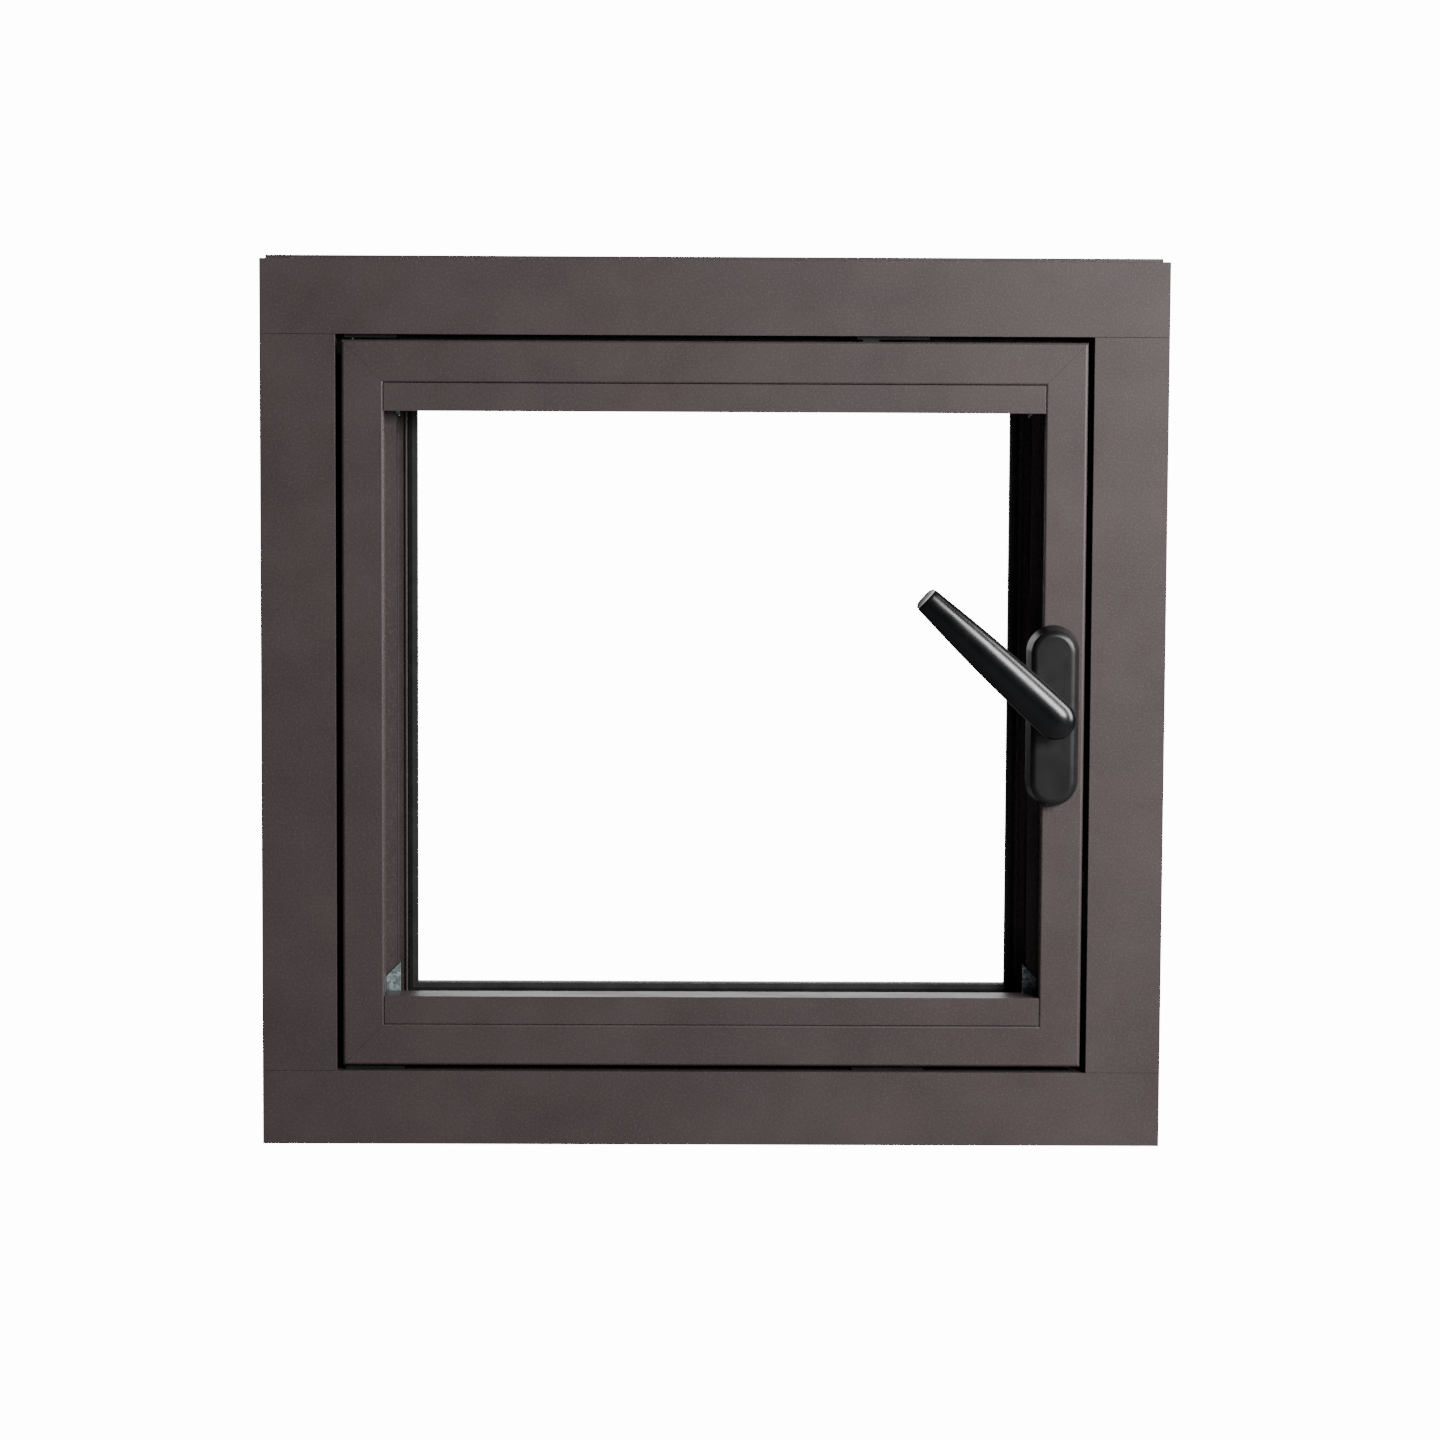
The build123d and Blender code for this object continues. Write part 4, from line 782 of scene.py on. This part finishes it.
# ---- Handle cover -------------------------------------------------------------------------------
# A pressed metal cover with full-radius ends, sloping sides and a soft front edge, snapped over the
# base. It is painted matt black; the lever and its collar have the satin paint.
satin, satin_tree, satin_shader = new_finish("satin_black_paint", Specular_IOR_Level=0.45)
satin_grain = place_group(satin_tree, coat_grain, {"Scale": 1800.0, "Fleck Amount": 0.15})
touch = place_group(satin_tree, handling, {"Cloud Scale": 35.0, "Streak Scale": 160.0})
satin_base = blend_colours(
    satin_tree, touch.outputs["Cloud"], (0.0020, 0.0022, 0.0030), (0.0035, 0.0039, 0.0050)
)
satin_tree.links.new(
    blend_colours(satin_tree, satin_grain.outputs["Fleck"], satin_base, (0.008, 0.008, 0.010)),
    satin_shader.inputs["Base Color"],
)
marked_shine(satin_tree, satin_shader, touch.outputs["Streak"], 0.21, 0.27)
add_bump(satin_tree, satin_shader, satin_grain.outputs["Height"], 0.06, 0.00003)

matt, matt_tree, matt_shader = new_finish("matt_black_paint")
matt_grain = place_group(matt_tree, coat_grain, {"Scale": 1500.0, "Fleck Amount": 0.3})
matt_touch = place_group(matt_tree, handling, {"Cloud Scale": 30.0, "Streak Scale": 120.0})
matt_base = blend_colours(
    matt_tree, matt_touch.outputs["Cloud"], (0.007, 0.007, 0.008), (0.011, 0.011, 0.012)
)
matt_tree.links.new(
    blend_colours(matt_tree, matt_grain.outputs["Fleck"], matt_base, (0.022, 0.022, 0.024)),
    matt_shader.inputs["Base Color"],
)
marked_shine(matt_tree, matt_shader, matt_touch.outputs["Streak"], 0.34, 0.42)
add_bump(matt_tree, matt_shader, matt_grain.outputs["Height"], 0.25, 0.00005)


def new_piece(name, shape, *materials):
    """An object made from a bmesh, smooth shaded, with its normals outward."""
    bmesh.ops.recalc_face_normals(shape, faces=shape.faces)
    for face in shape.faces:
        face.smooth = True
    mesh = bpy.data.meshes.new(name)
    shape.to_mesh(mesh)
    shape.free()
    for material in materials:
        mesh.materials.append(material)
    piece = bpy.data.objects.new(name, mesh)
    scene.collection.objects.link(piece)
    return piece


def skin(shape, loops, close_start=True, close_end=True):
    """Join closed loops of points, one after another, into a closed skin."""
    rings = [[shape.verts.new(point) for point in loop] for loop in loops]
    for first, second in zip(rings, rings[1:]):
        for index in range(len(first)):
            following = (index + 1) % len(first)
            shape.faces.new((first[index], first[following], second[following], second[index]))
    if close_start:
        shape.faces.new(rings[0][::-1])
    if close_end:
        shape.faces.new(rings[-1])


# The cover's loops run up the outside, over the rounded edge, across the front, and back inside.
cover_low, cover_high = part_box("handle_cover")
collar_low, collar_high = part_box("lever_collar")
spindle_x = (collar_low.x + collar_high.x) / 2
spindle_z = (collar_low.z + collar_high.z) / 2
cover_radius = (cover_high.x - cover_low.x) / 2
cover_thickness = cover_high.y - cover_low.y
cover_draft = 0.0035
cover_wall = 0.0016
cover_foot = 0.0012
cover_edge_radius = 0.0042
cover_hole_radius = 0.0094
side_slope = math.atan2(cover_draft, cover_thickness)
end_steps = 24
edge_steps = 8


def stadium(inset, y):
    """Loop of a full-radius slot shape, its ends over the cover's end centres, at one depth."""
    radius = cover_radius - inset
    points = []
    for end, centre_z in ((1, cover_high.z - cover_radius), (-1, cover_low.z + cover_radius)):
        for step in range(end_steps + 1):
            angle = math.pi * step / end_steps + (0.0 if end > 0 else math.pi)
            points.append((spindle_x + radius * math.cos(angle), y, centre_z + radius * math.sin(angle)))
    return points


cover_shape = bmesh.new()
cover_loops = [stadium(cover_wall, cover_high.y), stadium(0.0, cover_high.y)]
cover_loops.append(stadium(cover_draft * cover_foot / cover_thickness, cover_high.y - cover_foot))
for step in range(edge_steps + 1):
    angle = side_slope + (math.pi / 2 - side_slope) * step / edge_steps
    edge_in = cover_edge_radius * (1 - math.cos(angle))
    edge_out = cover_edge_radius * (1 - math.sin(angle))
    slope_in = cover_draft * (1 - edge_out / cover_thickness)
    cover_loops.append(stadium(slope_in + edge_in, cover_low.y + edge_out))


def hole_loop(radius, y):
    """Loop round the spindle with as many points as the cover's loops, starting beside them."""
    points = []
    for x, _, z in stadium(0.0, y):
        angle = math.atan2(z - spindle_z, x - spindle_x)
        points.append((spindle_x + radius * math.cos(angle), y, spindle_z + radius * math.sin(angle)))
    return points


cover_loops.append(hole_loop(cover_hole_radius, cover_low.y))
cover_loops.append(hole_loop(cover_hole_radius, cover_low.y + cover_wall))
cover_loops.append(stadium(cover_draft + cover_wall, cover_low.y + cover_wall))
cover_loops.append(stadium(cover_wall, cover_high.y))
skin(cover_shape, cover_loops, close_start=False, close_end=False)
bmesh.ops.remove_doubles(cover_shape, verts=cover_shape.verts, dist=weld_distance)
cover = new_piece("handle_cover_pressing", cover_shape, matt)
even_normals(cover)
stand_for(cover, "handle_cover")

# ---- Lever --------------------------------------------------------------------------------------
# One die casting in satin paint: a round hub swells out of its neck and draws out into a flattened,
# tapering grip. Its neck turns in the base, and a square spindle goes on into the sash.
cap_low, cap_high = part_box("lever_end_cap")
lever_low, lever_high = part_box("lever")
cap_centre = (cap_low + cap_high) / 2
lean = math.atan2(cap_centre.z - spindle_z, spindle_x - cap_centre.x)
along = Vector((-math.cos(lean), 0.0, math.sin(lean)))
across = Vector((math.sin(lean), 0.0, math.cos(lean)))
towards_room = Vector((0.0, -1.0, 0.0))
cap_past_grip = 0.0018
cap_distance = Vector((cap_centre.x - spindle_x, 0.0, cap_centre.z - spindle_z)).length
lever_reach = cap_distance - cap_past_grip
lever_depth = 0.0085
lever_middle = Vector((spindle_x, lever_low.y + lever_depth, spindle_z))
hub_radius = 0.0160
hub_half_width = 0.0159
hub_half_thickness = 0.0084
hub_fullness = 0.7
hub_steps = 7
grip_steps = 20
grip_stations = (
    # distance along, half width, half thickness, forward of the middle
    (0.000, hub_half_width, hub_half_thickness, 0.0000),
    (0.012, 0.0158, 0.0083, 0.0000),
    (0.030, 0.0155, 0.0081, 0.0003),
    (0.055, 0.0149, 0.0078, 0.0006),
    (0.080, 0.0139, 0.0073, 0.0008),
    (0.105, 0.0125, 0.0067, 0.0006),
    (0.125, 0.0110, 0.0061, 0.0002),
)


def grip_loop(distance, half_width, half_thickness, forward):
    """Oval loop across the grip."""
    points = []
    for step in range(grip_steps):
        angle = 2 * math.pi * step / grip_steps
        points.append(
            lever_middle
            + along * distance
            + across * (half_width * math.cos(angle))
            + towards_room * (forward + half_thickness * math.sin(angle))
        )
    return points


lever_shape = bmesh.new()
grip_loops = []
for step in range(1, hub_steps):
    angle = math.pi / 2 * step / hub_steps
    rise = math.sin(angle)
    grip_loops.append(grip_loop(
        -hub_radius * math.cos(angle),
        hub_half_width * rise,
        hub_half_thickness * rise ** hub_fullness,
        0.0,
    ))
grip_loops += [grip_loop(*station) for station in grip_stations]
tip_width = 0.0104
tip_thickness = 0.0057
tip_ease = 0.0006
tip_round = 0.0004
grip_loops.append(grip_loop(lever_reach - tip_ease, tip_width, tip_thickness, 0.0))
grip_loops.append(grip_loop(lever_reach, tip_width - tip_round, tip_thickness - tip_round, 0.0))
skin(lever_shape, grip_loops)


def turned_loops(outline, steps=32):
    """Loops about the spindle for an outline of (radius, y)."""
    turn = [2 * math.pi * step / steps for step in range(steps)]
    return [
        [(spindle_x + radius * math.cos(a), y, spindle_z + radius * math.sin(a)) for a in turn]
        for radius, y in outline
    ]


# The neck runs straight through the collar, then flares into the hub.
spindle_length = 0.0135
neck_radius = 0.0089
neck_back = lever_high.y - spindle_length
skin(lever_shape, turned_loops((
    (neck_radius, neck_back),
    (neck_radius, collar_low.y - 0.002),
    (0.0092, collar_low.y - 0.008),
    (0.0102, collar_low.y - 0.012),
    (0.0122, lever_middle.y + 0.0062),
    (0.0128, lever_middle.y + 0.0020),
)))
spindle_half = 0.0035
spindle_sunk = 0.001
square = ((1, 1), (-1, 1), (-1, -1), (1, -1))
skin(lever_shape, [
    [(spindle_x + u * spindle_half, y, spindle_z + v * spindle_half) for u, v in square]
    for y in (lever_high.y, neck_back - spindle_sunk)
])
lever = new_piece("lever_casting", lever_shape, satin)


def round_off(piece):
    """Smooth a coarse mesh into a rounded one."""
    rounding = piece.modifiers.new("rounding", "SUBSURF")
    rounding.levels = 2
    rounding.render_levels = 2


round_off(lever)
stand_for(lever, "lever")

# ---- Lever end cap ------------------------------------------------------------------------------
# A pale grey plastic plug, pushed into the open end of the grip. It stands a little proud, with a
# domed face.
cap_plastic, cap_tree, cap_shader = new_finish("pale_grey_plastic")
cap_grain = place_group(cap_tree, coat_grain, {"Scale": 1600.0, "Fleck Amount": 0.3})
cap_marks = place_group(cap_tree, handling, {"Cloud Scale": 150.0, "Streak Scale": 400.0})
cap_tree.links.new(
    blend_colours(cap_tree, cap_marks.outputs["Cloud"], (0.30, 0.30, 0.29), (0.40, 0.40, 0.39)),
    cap_shader.inputs["Base Color"],
)
marked_shine(cap_tree, cap_shader, cap_marks.outputs["Streak"], 0.38, 0.52)
add_bump(cap_tree, cap_shader, cap_grain.outputs["Height"], 0.25, 0.00005)
plug_stations = (
    # distance past the end of the grip, inward of its edge
    (-0.0030, 0.0012),
    (0.0001, 0.0012),
    (0.0001, 0.0003),
    (0.0006, 0.0003),
    (0.0016, 0.0011),
    (0.0025, 0.0024),
    (0.0031, 0.0040),
    (0.0034, 0.0052),
)
cap_shape = bmesh.new()
skin(cap_shape, [
    grip_loop(lever_reach + past, tip_width - inward, tip_thickness - inward, 0.0)
    for past, inward in plug_stations
])
cap = new_piece("lever_end_plug", cap_shape, cap_plastic)
round_off(cap)
stand_for(cap, "lever_end_cap")

# ---- Lever collar -------------------------------------------------------------------------------
# A turned ring in the same satin paint covers the hole in the handle cover. It is pressed on the
# lever's neck and turns with it.
collar_shape = bmesh.new()
collar_radius = (collar_high.x - collar_low.x) / 2
collar_inner = 0.0091
collar_outline = [(collar_inner, collar_high.y), (collar_radius, collar_high.y)]
collar_edge = 0.0014
collar_edge_steps = 6
collar_chamfer = 0.0004
for step in range(collar_edge_steps + 1):
    angle = math.pi / 2 * step / collar_edge_steps
    edge_in = collar_edge * (1 - math.cos(angle))
    edge_out = collar_edge * (1 - math.sin(angle))
    collar_outline.append((collar_radius - edge_in, collar_low.y + edge_out))
collar_outline.append((collar_inner + collar_chamfer, collar_low.y))
collar_outline.append((collar_inner, collar_low.y + collar_chamfer))
collar_outline.append(collar_outline[0])
skin(collar_shape, turned_loops(collar_outline, steps=64), close_start=False, close_end=False)
bmesh.ops.remove_doubles(collar_shape, verts=collar_shape.verts, dist=weld_distance)
collar = new_piece("lever_collar_ring", collar_shape, satin)
even_normals(collar)
stand_for(collar, "lever_collar")
